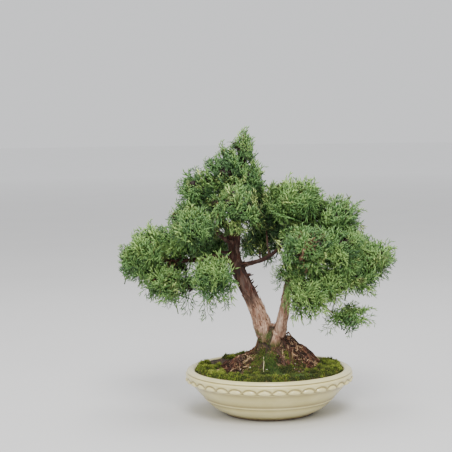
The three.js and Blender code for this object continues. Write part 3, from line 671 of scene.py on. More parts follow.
# Bare stems that show among the sprays: points along them and their thickness
BARE_STEMS = {
    "right_front_centre": [([(36, -62, 196), (37, -73, 200), (39.5, -74, 208), (43, -66, 220)], 2.9)],
    "low_left_ball": [([(-68, -40, 155), (-70, -46, 149), (-72, -47, 145), (-73, -47, 142)], 1.4)],
}

SPRAY_SPACING = 10.4
SMALLEST_SPRAY = 0.55
FULL_SIZE_REACH = 22.0
INNER_SHARE = 0.22
CLUMP_SPACING = 31.0
CREASE_DEPTH = 0.24
SATELLITES = 4
SMALLEST_WITH_SATELLITES = 14.0
CORE_REACH = 0.46
SMALLEST_CORED = 8.0
SHORT_SHOOT = 23.0
BASE_COLUMN = 4.8
BRIGHTEST_COLUMN = 7
OUTWARD_PULL = 0.3
BELOW = -0.22  # a direction that points further down than this is on the underside
THINNING_BELOW = 0.38
LACY_SHARE = 0.9
COVERED = 0.74  # a spray whose tip is deeper than this in another lobe is left out
LEADER_SHARE = 0.12  # of the sprays stand out a little further
TWIGS = 12
BOX_SLACK = 0.5
crown_low = np.array(cad_box[0]) / MM - BOX_SLACK
crown_high = np.array(cad_box[1]) / MM + BOX_SLACK


def of_bunch(table, name, otherwise=()):
    """A table's row for a bunch. The bunch is named foliage_ and the row's name."""
    return table.get(name.removeprefix("foliage_"), otherwise)


def character_of(name):
    return {**PLAIN, **of_bunch(CHARACTERS, name, {})}


def surface_area(half):
    """Rough area of an ellipsoid's surface."""
    a, b, c = half**1.6
    return 4 * math.pi * ((a * b + b * c + a * c) / 3) ** (1 / 1.6)


def kept_inside(points):
    """Shifts a spray back into the box of the whole tree."""
    return points + np.maximum(crown_low - points.min(0), 0) - np.maximum(points.max(0) - crown_high, 0)


def depth_in(point, lobes):
    """How deep a point is in the lobes: under 1 is inside one of them."""
    return min(np.linalg.norm((point - centre) / half) for centre, half in lobes)


def bunch_lobes(name, seed):
    """The ellipsoids that make up a bunch: its own, the side lobes, and smaller ones that stand out of it."""
    random = random_numbers(seed)
    character = character_of(name)
    low, high = (np.array(corner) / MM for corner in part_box(name))
    centre = (low + high) / 2 + np.array(character["move"])
    half = (high - low) / 2 * np.array(character["fit"])
    lobes = [(centre, half)]
    lobes += [(np.array(lobe[:3], float), np.array(lobe[3:], float)) for lobe in of_bunch(SIDE_LOBES, name)]
    if half.min() > SMALLEST_WITH_SATELLITES and not character["taper"]:
        for way in even_directions(SATELLITES + 3, random)[:SATELLITES]:
            share = random.uniform(0.38, 0.52)
            lobes.append((centre + way * half * (1.0 - share), half * share))
    return lobes


def add_core(batch, random, centre, half):
    """A small rough lump in the heart of the bunch, coloured near black as painted shade, which the sprays
    stand out of.
    """
    rings, sides = 9, 12
    directions = unit(np.array([
        (math.sin(h) * math.cos(a), math.sin(h) * math.sin(a), math.cos(h))
        for h in np.linspace(0.12, 3.02, rings) for a in np.arange(sides) * 2 * math.pi / sides]))
    reach = CORE_REACH * (1 + 0.25 * noise(directions, 0.4, int(random.integers(1000))))
    reach = reach * random.uniform(0.82, 1.12, len(reach))
    points = centre + directions * half * reach[:, None]
    batch.add(Form(points, ring_faces(rings, sides, False), [(0, 0), (1, 0), (0.5, 0.06)]), TWIG_COLUMN + 2)


def fill_lobe(batch, random, centre, half, character, others):
    """Clumps of sprays all over an ellipsoid, which fan out and up, and ones inside it made darker as painted
    shade.
    """
    area = surface_area(half)
    outer = max(8, int(area / SPRAY_SPACING**2 * character["density"]))
    inner = int(outer * INNER_SHARE)
    directions = np.vstack([even_directions(outer, random), even_directions(inner, random)])
    clumps = even_directions(max(5, int(area / CLUMP_SPACING**2)), random)
    clump_tones = random.normal(0, 0.6, len(clumps))
    nearness = directions @ clumps.T
    own = nearness.argmax(1)
    crease = np.clip((1 - nearness.max(1)) * len(clumps) / 2, 0, 1.2)
    reach = 1 / np.linalg.norm(directions / half, axis=1)
    reach = reach * (1.01 - CREASE_DEPTH * crease + 0.1 * noise(directions, 0.7, int(random.integers(1000))))
    from_axis = unit(np.array([centre[0] + 20, centre[1] - 5, 0.0]))
    for index, (way, far) in enumerate(zip(directions, reach)):
        outside = index < outer
        below = way[2] < BELOW
        if outside and below and random.random() < THINNING_BELOW:
            continue
        tip = way * far * (random.uniform(0.94, 1.04) if outside else random.uniform(0.5, 0.72))
        tip[:2] *= 1 - character["taper"] * max(0.0, way[2])
        if depth_in(centre + tip, others) < COVERED:
            continue
        if outside and below and character["lace"] > 0 and random.random() < LACY_SHARE:
            form, length, rise = lacy_sprays[random.integers(len(lacy_sprays))], LACY_LENGTH, -0.2
            tip = tip + np.array([way[0] * 3, way[1] * 3, -character["lace"] * random.uniform(0.2, 1)])
            droop = random.uniform(0, 0.3)
        else:
            form, length, droop = dense_sprays[random.integers(len(dense_sprays))], DENSE_LENGTH, 0.0
            rise = 0.1 if below else 0.6 + 0.3 * max(0.0, way[2])
        fan = way - clumps[own[index]]
        pull = rise * UP + OUTWARD_PULL * from_axis
        along = unit(0.45 * way + 1.5 * fan + pull + random.normal(0, 0.24, 3))
        if outside and not below and random.random() < LEADER_SHARE:
            tip = tip + along * random.uniform(2.5, 6.5)
        scale = random.uniform(0.8, 1.15) * min(1.0, max(SMALLEST_SPRAY, far / FULL_SIZE_REACH))
        facing = way + random.normal(0, 0.45, 3)
        points = placed(form, centre + tip - along * length * scale, along, facing, scale, droop)
        # Painted light and shade: sprays that face up are lighter, and those in the creases between clumps
        # and inside the bunch are darker.
        tone = BASE_COLUMN + character["tone"] + clump_tones[own[index]] + random.normal(0, 0.9)
        tone += 1.2 * max(0.0, way[2]) + 1.1 - 3.0 * crease[index] - (0 if outside else 3)
        column = int(np.clip(round(tone), 1, BRIGHTEST_COLUMN))
        if random.random() < character["olive"]:
            column = OLIVE_COLUMN
        elif random.random() < character["rusty"]:
            column = TWIG_COLUMN + 1
        batch.add(form, column, kept_inside(points))


def add_twigs(batch, random, centre, half):
    """Bare brown twigs that carry the sprays."""
    for way in even_directions(TWIGS, random):
        far = 1 / np.linalg.norm(way / half)
        middle = centre + way * far * 0.3 + random.normal(0, 1.5, 3)
        column = TWIG_COLUMN + int(random.integers(0, 3))
        batch.add(cord([centre, middle, centre + way * far * 0.62], [1.0, 0.75, 0]), column)


def add_long_shoots(batch, random, name):
    """Slim shoots that rise or reach out, lacy ones that hang, and bare stems."""
    for shoot in of_bunch(LONG_SHOOTS, name):
        foot, tip = np.array(shoot[:3], float), np.array(shoot[3:], float)
        hanging = tip[2] < foot[2]
        forms, length = (lacy_sprays, LACY_LENGTH) if hanging else (slim_sprays, DENSE_LENGTH)
        if np.linalg.norm(tip - foot) < SHORT_SHOOT:
            forms, length = dense_sprays, DENSE_LENGTH
        form = forms[random.integers(len(forms))]
        scale = np.linalg.norm(tip - foot) / length
        facing = np.array([0.2, -1.0, 0.1]) + random.normal(0, 0.3, 3)
        # Painted light and shade: hanging shoots take a darker column and rising ones a lighter one.
        column = round(BASE_COLUMN + character_of(name)["tone"]) + (-1 if hanging else 1)
        batch.add(form, column, kept_inside(placed(form, foot, tip - foot, facing, scale, 0.0)))
    for path, thick in of_bunch(BARE_STEMS, name):
        batch.add(cord(path, thick * np.array([0.8, 1.0, 0.9, 0]), 6), TWIG_COLUMN)


def build_bunch(name, seed, all_lobes):
    random = random_numbers(seed)
    character = character_of(name)
    batch = Batch()
    for lobe in all_lobes[name]:
        others = [other for lobes in all_lobes.values() for other in lobes if other is not lobe]
        if lobe[1].min() > SMALLEST_CORED and not character["open"]:
            add_core(batch, random, *lobe)
        fill_lobe(batch, random, *lobe, character, others)
        add_twigs(batch, random, *lobe)
    add_long_shoots(batch, random, name)
    show_form("fine_" + name, batch.whole(), foliage_material, name)


# Wood: the CAD solid made fine and round, with fibrous bark drawn out along each limb

WOOD_VOXEL = 0.95
ROUNDING_STEPS = 30
BARK_MOSS_TOP = 106.0
THICKEST_WOOD = 20.0
LIMB = 7.0  # only thicker wood has strips and stubs
STRIPS = 420
STRIPS_FROM = 84
STUBS = 16
STUB_HEIGHTS = (148, 190)
STUB_PLACES = (-36, -10)
# Painted shade under the crown: strips high on the wood take darker columns.
HIGH_WOOD = 140  # from this height the strips are darker
LOW_STRIP_COLUMNS = [3, 6, 7, 8]
HIGH_STRIP_COLUMNS = [1, 2, 6, 13]

# The crease under the fork leans from x_low at its foot to x_top at its top
FORK = {"top": 113.0, "low": 86.0, "x_top": 7.6, "x_low": -2.0}


def set_points(mesh, points):
    mesh.vertices.foreach_set("co", (points * MM).astype(np.float32).ravel())
    mesh.update()


def rounded(points, edges):
    """Smooths the facets and keeps the thickness."""
    for _ in range(ROUNDING_STEPS):
        points = blurred(points, edges, 1, 0.6)
        points = blurred(points, edges, 1, -0.57)
    return points


def shared_axes(vectors, edges, steps, share, rank):
    """At each point, the direction that the vectors about it point along least, rank 0, or most, rank 2."""
    tensor = blurred((vectors[:, :, None] * vectors[:, None, :]).reshape(-1, 9), edges, steps, share)
    return np.linalg.eigh(tensor.reshape(-1, 3, 3))[1][:, :, rank]


def drawn_out(values, points, axes, edges, steps):
    """Smooths values along the limbs only, which makes fibres of them."""
    span = unit(points[edges[:, 1]] - points[edges[:, 0]])
    weights = np.abs((span * unit(axes[edges[:, 0]])).sum(1)) ** 7 + 0.004
    values = blurred(values, edges, steps, 0.65, weights)
    return (values - values.mean()) / (values - values.mean()).std()


def right_of_fork(points):
    """How far to the right of the fork's crease a point is."""
    share = np.clip((points[:, 2] - FORK["low"]) / (FORK["top"] - FORK["low"]), 0, 1.2)
    return points[:, 0] - FORK["x_low"] - share * (FORK["x_top"] - FORK["x_low"])


def fork_crease(points, normals):
    """The crease that runs down from the fork, where the right trunk leans against the left one."""
    aside = right_of_fork(points)
    height = points[:, 2]
    faces = smoothstep(0.1, 0.6, np.abs(normals[:, 1]))
    fade = smoothstep(FORK["low"] - 6, FORK["low"] + 6, height)
    fade = fade * smoothstep(FORK["top"] + 8, FORK["top"], height)
    crease = -6.0 * np.exp(-(((aside + 1) / 3.0) ** 2))
    shoulder = 3.6 * np.exp(-(((aside - 7) / 5.0) ** 2)) * (normals[:, 1] < 0)
    return faces * fade * (crease + shoulder)


def thickness_at(mesh, points, normals):
    """How thick the wood is under each point."""
    tree = ray_tree(mesh)
    thickness = np.full(len(points), THICKEST_WOOD)
    for i, (point, normal) in enumerate(zip(points, normals)):
        hit = tree.ray_cast(Vector((point - normal * 0.2) * MM), Vector(-normal), 0.05)
        if hit[0] is not None:
            thickness[i] = hit[3] / MM
    return thickness


def build_wood():
    """Shows the wood and returns its points, normals, limb axes and thickness."""
    copy = new_object("copy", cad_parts["trunk_and_branches"].data.copy())
    given(copy.modifiers.new("even", "REMESH"), mode="VOXEL", voxel_size=WOOD_VOXEL * MM)
    mesh = applied(copy)
    points, _, edges = mesh_arrays(mesh)
    set_points(mesh, rounded(points, edges))
    points, normals, edges = mesh_arrays(mesh)
    axes = shared_axes(normals, edges, 45, 0.5, 0)
    axes = shared_axes(axes, edges, 12, 0.6, 2)
    thickness = neighbour_mean(thickness_at(mesh, points, normals), edges)
    crease = blurred(fork_crease(points, normals), edges, 6)
    fine = drawn_out(random_numbers(3).normal(size=len(points)), points, axes, edges, 10)
    broad = drawn_out(noise(points, 2.4, 5), points, axes, edges, 30)
    flakes = smoothstep(0.2, 1.3, broad)
    relief = np.clip(thickness * 0.03, 0.06, 0.6) * (0.34 * fine + 1.1 * flakes - 0.35)
    relief = relief + np.clip(thickness * 0.03, 0.05, 0.8) * noise(points, 11, 8)
    points = points + normals * (relief + crease)[:, None]
    set_points(mesh, points)
    low = smoothstep(BARK_MOSS_TOP, BARK_MOSS_TOP - 14, points[:, 2] + 8 * noise(points, 8, 12))
    hollow = np.maximum(smoothstep(3, -1, right_of_fork(points)), smoothstep(95, 84, points[:, 2]))
    height = points[:, 2] - 1.3 * np.maximum(points[:, 0] - 5, 0)
    point_values(mesh, "fibre", 0.5 + 0.1 * fine + 0.06 * broad)
    point_values(mesh, "flake", flakes)
    point_values(mesh, "moss", low * hollow * smoothstep(-0.4, 0.3, noise(points, 6, 15) + 0.35))
    # Painted shade: the wood is made darker high up, where the crown shades it.
    point_values(mesh, "upper", smoothstep(124, 156, height + 6 * noise(points, 9, 16)))
    # Painted shade: the fork's crease is darkened in the bark's colour.
    point_values(mesh, "crease", smoothstep(0.6, 2.6, -crease))
    show("fine_trunk_and_branches", mesh, bark_material(), "trunk_and_branches")
    return points, normals, axes, thickness


def bark_material():
    shader = Shader("juniper_bark")
    fibre, upper = shader.value("fibre"), shader.value("upper")
    # The second ramp, for the wood high up, is painted shade under the crown.
    colour = shader.mix(
        upper,
        shader.ramp(fibre, [(0.18, rgb(84, 56, 42)), (0.4, rgb(150, 114, 92)),
                            (0.6, rgb(184, 150, 126)), (0.85, rgb(210, 184, 162))]),
        shader.ramp(fibre, [(0.18, rgb(26, 12, 8)), (0.42, rgb(50, 24, 16)),
                            (0.62, rgb(76, 41, 28)), (0.85, rgb(104, 66, 48))]))
    colour = shader.mottled(colour, 8, 4, (0.36, 0.82), (0.64, 1.1))
    colour = shader.mottled(colour, 2.4, 3, (0.34, 0.78), (0.62, 1.1))
    red = shader.clouds(13, 2, greys((0.5, 0), (0.68, 0.4)))
    low_down = shader.math("SUBTRACT", 1.0, shader.times(upper, 0.75))
    green = shader.clouds(1.4, 3, [(0.35, rgb(46, 56, 22)), (0.65, rgb(96, 112, 44))])
    colour = shader.mix(shader.times(red, low_down), colour, rgb(118, 70, 50))
    # The crease layer is painted shade in the fork; the flake and moss layers are the bark's own colour.
    layers = [("flake", 0.12, rgb(180, 162, 146)), ("crease", 0.9, rgb(40, 28, 18)), ("moss", 0.85, green)]
    for name, share, tint in layers:
        colour = shader.mix(shader.times(shader.value(name), share), colour, tint)
    fine = shader.noise(0.55, 4)
    shader.bump(shader.plus(shader.times(fibre, 0.6), fine), 0.35, 0.6)
    return shader.finish(colour, shader.plus(shader.times(fine, 0.25), 0.68))


def build_bark_strips(points, normals, axes, thickness):
    """Loose strips of bark that lift off the trunks, and short dead stubs."""
    random = random_numbers(17)
    batch = Batch()
    x, _, z = points.T
    thick_wood = thickness > LIMB
    for spot in random.permutation(np.flatnonzero(thick_wood & (z > STRIPS_FROM)))[:STRIPS]:
        point, normal, axis = points[spot], normals[spot], axes[spot]
        axis = axis * (1 if axis[2] > 0 else -1) * (1 if random.random() < 0.5 else -1)
        length = random.uniform(3, 8)
        lift = random.uniform(0.2, 1.3)
        path = [point - 0.25 * normal, point + axis * length * 0.5 + normal * 0.2 * lift,
                point + axis * length + normal * lift]
        column = int(random.choice(LOW_STRIP_COLUMNS if point[2] < HIGH_WOOD else HIGH_STRIP_COLUMNS))
        batch.add(cord(path, [0.55, 0.42, 0]), column)
    right_side = thick_wood & (normals[:, 0] > 0.55)
    for values, (low, high) in ((z, STUB_HEIGHTS), (x, STUB_PLACES)):
        right_side &= (values > low) & (values < high)
    for spot in random.permutation(np.flatnonzero(right_side))[:STUBS]:
        point, normal = points[spot], normals[spot]
        way = unit(normal + 0.5 * UP + random.normal(0, 0.35, 3))
        length = random.uniform(2.5, 6.5)
        path = [point - 0.6 * normal, point + way * length * 0.6, point + way * length + 0.8 * UP]
        batch.add(cord(path, [0.95, 0.7, 0], 4), 1)
    show_form("bark_strips", batch.whole(), ground_material)


# Pot: radius and height of its profile, with the band of waves worked out from the angle

WAVES = 36
POT_SEGMENTS = 12 * WAVES
BAND_LOW = 40.4
BAND_HIGH = 51.7
BAND_ROWS = 18
PAD_FOOT = 41.2
PAD_HEIGHT = 5.4
PAD_HALF_WIDTH = 0.49
BAND_RADIUS = 103.7
BAND_RECESS = 99.0
DRAIN_RADIUS = 6.0
DRAIN_OFFSET = 27.0
GROOVE = (60.0, 5.0, 2.8)  # length, width, and height of the cutter, of which half is in the pot

BELOW_BAND = [
    (20, 0), (38, 0), (50, 0), (54.4, 0), (55.8, 0.4), (56.6, 1.3), (57.2, 2.4), (58.6, 3.1), (63, 5.2),
    (70, 9), (75.2, 13.6), (78.6, 17.8), (79.8, 18.7), (81.2, 19.3), (81.9, 20.2), (81.9, 21.1), (82.3, 21.9),
    (86, 25.6), (90, 30), (93.5, 34.2), (96.4, 37.9), (97.9, 39.3), (98.8, 40)]
ABOVE_BAND = [
    (101.2, 52.1), (102.1, 52.5), (102.3, 53.1), (101.3, 54), (99.4, 54.8), (97.6, 55.4), (95.9, 55.7),
    (94.4, 55.4), (93.1, 54.6), (92, 53.1), (91.2, 51), (90, 48), (89, 45), (86, 38), (81.5, 30), (74, 21),
    (66, 13.2), (60, 8.4), (58, 7.1), (50, 7), (30, 7), (12, 7)]


def band_radius(height, wave):
    """The band of half-round pads under arched grooves. Wave runs from -0.5 to 0.5 about a pad's middle."""
    arch = np.hypot(wave / PAD_HALF_WIDTH, (height - PAD_FOOT) / PAD_HEIGHT)
    body = BAND_RADIUS - 0.02 * (height - 46.5) ** 2
    body = body - 2.1 * np.exp(-(((arch - 1) / 0.2) ** 2)) + 0.6 * np.clip(1 - arch**2, 0, 1)
    bottom = PAD_FOOT - 0.5 + 1.2 * (2 * np.abs(wave)) ** 2
    lower = smoothstep(bottom - 0.5, bottom + 0.7, height)
    upper = smoothstep(BAND_HIGH + 0.1, BAND_HIGH - 1.3, height)
    return BAND_RECESS + (body - BAND_RECESS) * lower * (0.55 + 0.45 * upper)


def build_pot():
    angle = np.arange(POT_SEGMENTS) * 2 * math.pi / POT_SEGMENTS
    wave = (angle * WAVES / (2 * math.pi)) % 1 - 0.5
    all_round = np.ones(POT_SEGMENTS)
    level = np.linspace(BAND_LOW, BAND_HIGH, BAND_ROWS)[:, None] * all_round
    below, above = (np.array(profile)[..., None] * all_round for profile in (BELOW_BAND, ABOVE_BAND))
    radius = np.vstack([below[:, 0], band_radius(level, wave), above[:, 0]])
    height = np.vstack([below[:, 1], level, above[:, 1]])
    points = np.stack([*oval_point(radius, angle), height], -1)
    hand_made = noise(points, 34, 21) * smoothstep(2, 10, height)
    points[..., :2] *= (1 + 0.0022 * hand_made)[..., None]
    points = np.vstack([points.reshape(-1, 3), [(0, 0, 0), (0, 0, ABOVE_BAND[-1][1])]])
    mesh = with_drain_holes(mesh_from("fine_pot", points, ring_faces(*height.shape)[:, UPWARDS]))
    points, normals, edges = mesh_arrays(mesh)
    cavity = blurred(((neighbour_mean(points, edges) - points) * normals).sum(1), edges, 2)
    point_values(mesh, "cavity", np.clip(cavity / 0.11, -1, 1))
    point_values(mesh, "foot", smoothstep(2.9, 2.0, points[:, 2] + 0.35 * noise(points, 5, 31)))
    show("fine_pot", mesh, glaze_material(), "pot")


def with_drain_holes(mesh):
    """Cuts the two drain holes and the shallow grooves that lead out from them."""
    pot = new_object("pot_to_cut", mesh)
    cutters = []
    for side in (-1, 1):
        bpy.ops.mesh.primitive_cylinder_add(
            vertices=40, radius=DRAIN_RADIUS * MM, depth=0.03, location=(side * DRAIN_OFFSET * MM, 0, 0))
        cutters.append(bpy.context.object)
        middle = DRAIN_OFFSET + GROOVE[0] / 2
        bpy.ops.mesh.primitive_cube_add(size=1, location=(side * middle * MM, 0, 0))
        cutters.append(given(bpy.context.object, scale=[length * MM for length in GROOVE]))
    for cutter in cutters:
        given(pot.modifiers.new("cut", "BOOLEAN"), operation="DIFFERENCE", solver="EXACT", object=cutter)
    return applied(pot, *cutters)


def glaze_material():
    shader = Shader("cream_glaze")
    cavity, foot = shader.value("cavity"), shader.value("foot")
    pooled = shader.times(shader.math("MAXIMUM", cavity, 0.0), 0.75, True)
    thin = shader.times(shader.math("MAXIMUM", shader.times(cavity, -1.0), 0.0), 0.4, True)
    colour = shader.clouds(26, 3, [(0.35, rgb(203, 190, 124)), (0.65, rgb(216, 204, 142))])
    colour = shader.mix(pooled, colour, rgb(142, 124, 80))
    colour = shader.mix(thin, colour, rgb(234, 225, 176))
    colour = shader.mottled(colour, 1.1, 2, (0.66, 1), (0.74, 0.8))
    clay = shader.clouds(2.5, 4, [(0.3, rgb(96, 78, 62)), (0.7, rgb(132, 112, 92))])
    shader.bump(shader.noise(7, 2), 0.12, 0.35)
    wet = shader.plus(shader.times(shader.noise(12, 3), 0.16), 0.12)
    shader.surface.inputs["Coat Weight"].default_value = 0.35
    shader.surface.inputs["Coat Roughness"].default_value = 0.12
    return shader.finish(shader.mix(foot, colour, clay), shader.plus(wet, shader.times(foot, 0.6)))


# Soil: its height is the CAD soil's, with unevenness on top

SOIL_RINGS = 76
SOIL_SEGMENTS = 240
SOIL_RIM = 90.4
SOIL_LOWEST = 46.0
SOIL_EDGE = 88.6
SOIL_SKIRT = [(88.7, 46), (81.1, 30), (57.3, 7.4)]  # radius and height of the rings below
STUMP = (4.0, 0.0, 18.4)  # place on the plan and radius
STUMP_HOLE_HEIGHT = 88.0
RIM_RISE = 6.6

# Where the ground is heaped up under dried fibres and bark: centre, spread and height
GROUND_HEAPS = [(46, -4, 12, 9.0), (59, -2, 9, 6.0), (-36, -4, 14, 6.0), (-53, -2, 11, 6.5),
                (-27, -2, 10, 3.0)]

soil_tree = ray_tree(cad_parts["soil"].data)


def soil_height(x, y):
    """Height of the CAD soil's upper side, level over the hole that the stump stands in."""
    heights = np.full(len(x), STUMP_HOLE_HEIGHT)
    inwards = np.minimum(1, SOIL_EDGE / np.maximum(oval_radius(x, y), 1)) * MM
    for i, (px, py) in enumerate(zip(x * inwards, y * inwards)):
        hit = soil_tree.ray_cast(Vector((px, py, 0.13)), Vector((0, 0, -1)))[0]
        if hit is not None and hit[2] > SOIL_LOWEST * MM:
            heights[i] = hit[2] / MM
    return heights


def ground_height(x, y):
    """The fine soil's height, with bumps all over, bigger ones on the mound, and a rise towards the rim."""
    x, y = np.asarray(x, float), np.asarray(y, float)
    flat = on_plan(x, y)
    radius = oval_radius(x, y)
    on_mound = smoothstep(64, 34, radius)
    rise = 0.9 * noise(flat, 6.5, 41) + 0.6 * noise(flat, 2.7, 42)
    rise = rise + 2.6 * on_mound * noise(flat, 10, 43) + RIM_RISE * smoothstep(54, 84, radius)
    for heap_x, heap_y, spread, height in GROUND_HEAPS:
        rise = rise + height * np.exp(-((x - heap_x) ** 2 + (y - heap_y) ** 2) / spread**2)
    return soil_height(x, y) + rise


def build_soil():
    radius = SOIL_RIM * np.linspace(0.02, 1, SOIL_RINGS)
    angle = np.arange(SOIL_SEGMENTS) * 2 * math.pi / SOIL_SEGMENTS
    x, y = (part.ravel() for part in oval_point(radius[:, None], angle))
    top = np.stack([x, y, ground_height(x, y)], -1)
    skirt = [np.stack([*oval_point(r, angle), np.full(SOIL_SEGMENTS, z)], -1) for r, z in SOIL_SKIRT]
    middles = [(0, 0, top[:SOIL_SEGMENTS, 2].mean()), (0, 0, SOIL_SKIRT[-1][1])]
    faces = ring_faces(SOIL_RINGS + len(SOIL_SKIRT), SOIL_SEGMENTS)
    mesh = mesh_from("fine_soil", np.vstack([top, *skirt, middles]), faces)
    show("fine_soil", mesh, soil_material(), "soil")


def soil_material():
    shader = Shader("dark_soil")
    colour = shader.clouds(3.2, 5, [
        (0.3, rgb(28, 20, 14)), (0.5, rgb(58, 42, 28)), (0.64, rgb(92, 68, 46)), (0.8, rgb(120, 96, 70))])
    shader.bump(shader.noise(0.9, 4), 0.6, 0.9)
    return shader.finish(colour, shader.plus(shader.times(shader.noise(2, 3), 0.2), 0.78))


# Growth and litter on the ground

GRAINS = 1500
GRAIN_SIZES = (1.4, 3.6)
PUMICE_SIZES = (1.4, 3.2)

# Handfuls of pumice: centre, spread and count
PUMICE = [(27, -42, 11, 11), (39, -33, 12, 9), (-14, -44, 8, 4), (12, -48, 9, 5), (-36, -30, 12, 7),
          (30, 30, 16, 9)]

# Heaps of dried fibre and bark on the mound: centre, spread, count and how high they lie
FIBRE_HEAPS = [
    (28, -12, 9, 260, 5.5), (39, -13, 11, 360, 5.0), (48, -8, 11, 220, 4.2), (30, 10, 15, 140, 3.0),
    (-34, -12, 13, 190, 3.6), (-48, -10, 12, 210, 3.6), (-24, 16, 14, 80, 2.0), (16, -38, 10, 60, 1.4)]
FIBRE_REACH = 76
THICK_FIBRE_COLUMNS = [0, 1, 6, 6, 7, 7, 13, 14]
THIN_FIBRE_COLUMNS = [0, 0, 1, 2, 6, 6, 7, 8, 9, 9, 13, 14]
ROOTS = 16
PALE_ROOT = [(-7.5, -27), (-7.2, -33), (-8.2, -39), (-7.6, -45), (-8.0, -49)]
PALE_ROOT_LIFT = (2.4, 2.6, 2.2, 1.8, 0.4)


def add_grains(batch, random, x, y, sizes, rise, first_column, columns):
    """Grains on the ground, raised by a share of their size."""
    for px, py, pz in zip(x, y, ground_height(x, y)):
        size = random.uniform(*sizes)
        grain = lump(random, size)
        column = first_column + int(random.integers(0, columns))
        batch.add(grain, column, grain.points + np.array([px, py, pz + rise * size]))


def build_grains():
    """Soil grains and pale pumice lying on the mound."""
    random = random_numbers(51)
    batch = Batch()
    x, y = scatter(random, GRAINS, 20, 64, (8, 0))
    add_grains(batch, random, x, y, GRAIN_SIZES, 0.2, 0, 6)
    for cx, cy, spread, count in PUMICE:
        x = cx + random.normal(0, spread / 2, count)
        y = cy + random.normal(0, spread / 2, count)
        add_grains(batch, random, x, y, PUMICE_SIZES, 0.3, PUMICE_COLUMN, 2)
    show_form("soil_grains", batch.whole(), ground_material, smooth=False)


def laid_cord(random, x, y, heading, length, thick, lift, curl, parts):
    """A root or fibre that follows the ground."""
    xs = [x]
    ys = [y]
    for _ in range(parts):
        heading += random.normal(0, curl)
        xs.append(xs[-1] + math.cos(heading) * length / parts)
        ys.append(ys[-1] + math.sin(heading) * length / parts)
    z = ground_height(xs, ys) + lift + random.uniform(-0.2, 0.5, parts + 1) * thick
    z[-1] -= thick
    radii = thick * np.linspace(1, 0.45, parts + 1)
    return cord(np.stack([xs, ys, z], -1), radii, 3 if thick < 0.8 else 6)


def build_roots():
    """Surface roots, dried fibres and small twigs."""
    random = random_numbers(61)
    batch = Batch()
    for i in range(ROOTS):
        heading = i / ROOTS * 2 * math.pi + random.uniform(-0.2, 0.2)
        thick = random.uniform(0.9, 2.0)
        start = STUMP[2] - 0.5 + random.uniform(0, 3)
        root = laid_cord(random, STUMP[0] + start * math.cos(heading), start * math.sin(heading), heading,
                         random.uniform(18, 32), thick, 0.3 * thick, 0.28, 7)
        batch.add(root, int(random.integers(13, 15)) if i % 3 else 3)
    for cx, cy, spread, count, depth in FIBRE_HEAPS:
        for _ in range(count):
            x = cx + random.normal(0, spread * 0.55)
            y = cy + random.normal(0, spread * 0.55)
            if oval_radius(x, y) > FIBRE_REACH or math.hypot(x - STUMP[0], y) < STUMP[2] - 2:
                continue
            thick = random.uniform(0.3, 1.0) * (1.8 if random.random() < 0.14 else 1)
            fibre = laid_cord(random, x, y, random.uniform(0, 6.28), random.uniform(6, 16), thick,
                              depth * random.random() ** 1.6, 0.7, 3)
            batch.add(fibre, int(random.choice(THICK_FIBRE_COLUMNS if thick > 1.0 else THIN_FIBRE_COLUMNS)))
    x, y = np.transpose(PALE_ROOT)
    pale = np.stack([x, y, ground_height(x, y) + PALE_ROOT_LIFT], -1)
    batch.add(cord(pale, [0.55, 0.6, 0.55, 0.5, 0], 5), PALE_ROOT_COLUMN)
    show_form("roots_and_fibres", batch.whole(), ground_material)


# Moss. Each patch: its angles about the pot in degrees, its inner edge, its tone and its stems

MOSS_PATCHES = {
    "moss_left": dict(start=157, end=237, inner=57, tone=3.1, stems=5200),
    "moss_front": dict(start=233, end=307, inner=44, tone=1.7, stems=5600),
    "moss_right": dict(start=303, end=384, inner=57, tone=2.5, stems=5200),
    "moss_back": dict(start=46, end=134, inner=57, tone=3.0, stems=4200),
}
MOSS_OUTER = 91.4
MOSS_DEPTH = 0.8
DRY_SHARE = 0.04
RIM_ROUNDING = 2.6
LUMP_SPACING = 9.5
RIM_LUMP_SPACING = 7.0
CUSHION_ROWS = 22
CUSHION_COLUMNS = 60

# Grassy tufts: centre, spread, count, height and the lowest column of their colour
TUFTS = [
    (2, -40, 9, 330, 7.5, 10), (6, -52, 9, 320, 7.5, 10), (-4, -30, 6, 150, 6, 10), (33, -66, 8, 220, 6, 11),
    (44, -60, 6, 110, 5, 11), (-44, -52, 6, 70, 4, 10), (14, -60, 10, 160, 5, 11)]

# Thin moss on the mound itself: centre, spread, count and tone
MOUND_MOSS = [(-12, -24, 8, 750, 3), (0, -30, 9, 950, 3), (-18, -34, 10, 900, 3), (24, -26, 6, 330, 5),
              (-24, -16, 8, 500, 3), (46, 8, 9, 350, 4), (36, -30, 8, 300, 3), (0, 30, 12, 600, 3)]

TRUNK_MOSS_STEMS = 1700
TRUNK_MOSS_HEIGHTS = (76, 107)


def tone_columns(tone):
    """The moss columns nearest to a tone, without the darkest and the dry one."""
    return np.clip(np.round(tone), 1, 8).astype(int)


def moss_lumps(random, patch):
    """Centres, radii and heights of the cushions in a patch."""
    start, end = np.radians((patch["start"], patch["end"]))
    area = (end - start) / 2 * (MOSS_OUTER**2 - patch["inner"] ** 2)
    count = int(area / LUMP_SPACING**2 * 1.25)
    radius = np.sqrt(random.uniform(patch["inner"] ** 2, MOSS_OUTER**2, count))
    angle = random.uniform(start, end, count)
    along_rim = np.arange(start, end, RIM_LUMP_SPACING / MOSS_OUTER)
    radius = np.concatenate([radius, MOSS_OUTER - random.uniform(2, 5, len(along_rim))])
    x, y = oval_point(radius, np.concatenate([angle, along_rim]))
    return np.stack([x, y], -1), random.uniform(3.6, 7.0, len(x)), random.uniform(1.6, 5.2, len(x))


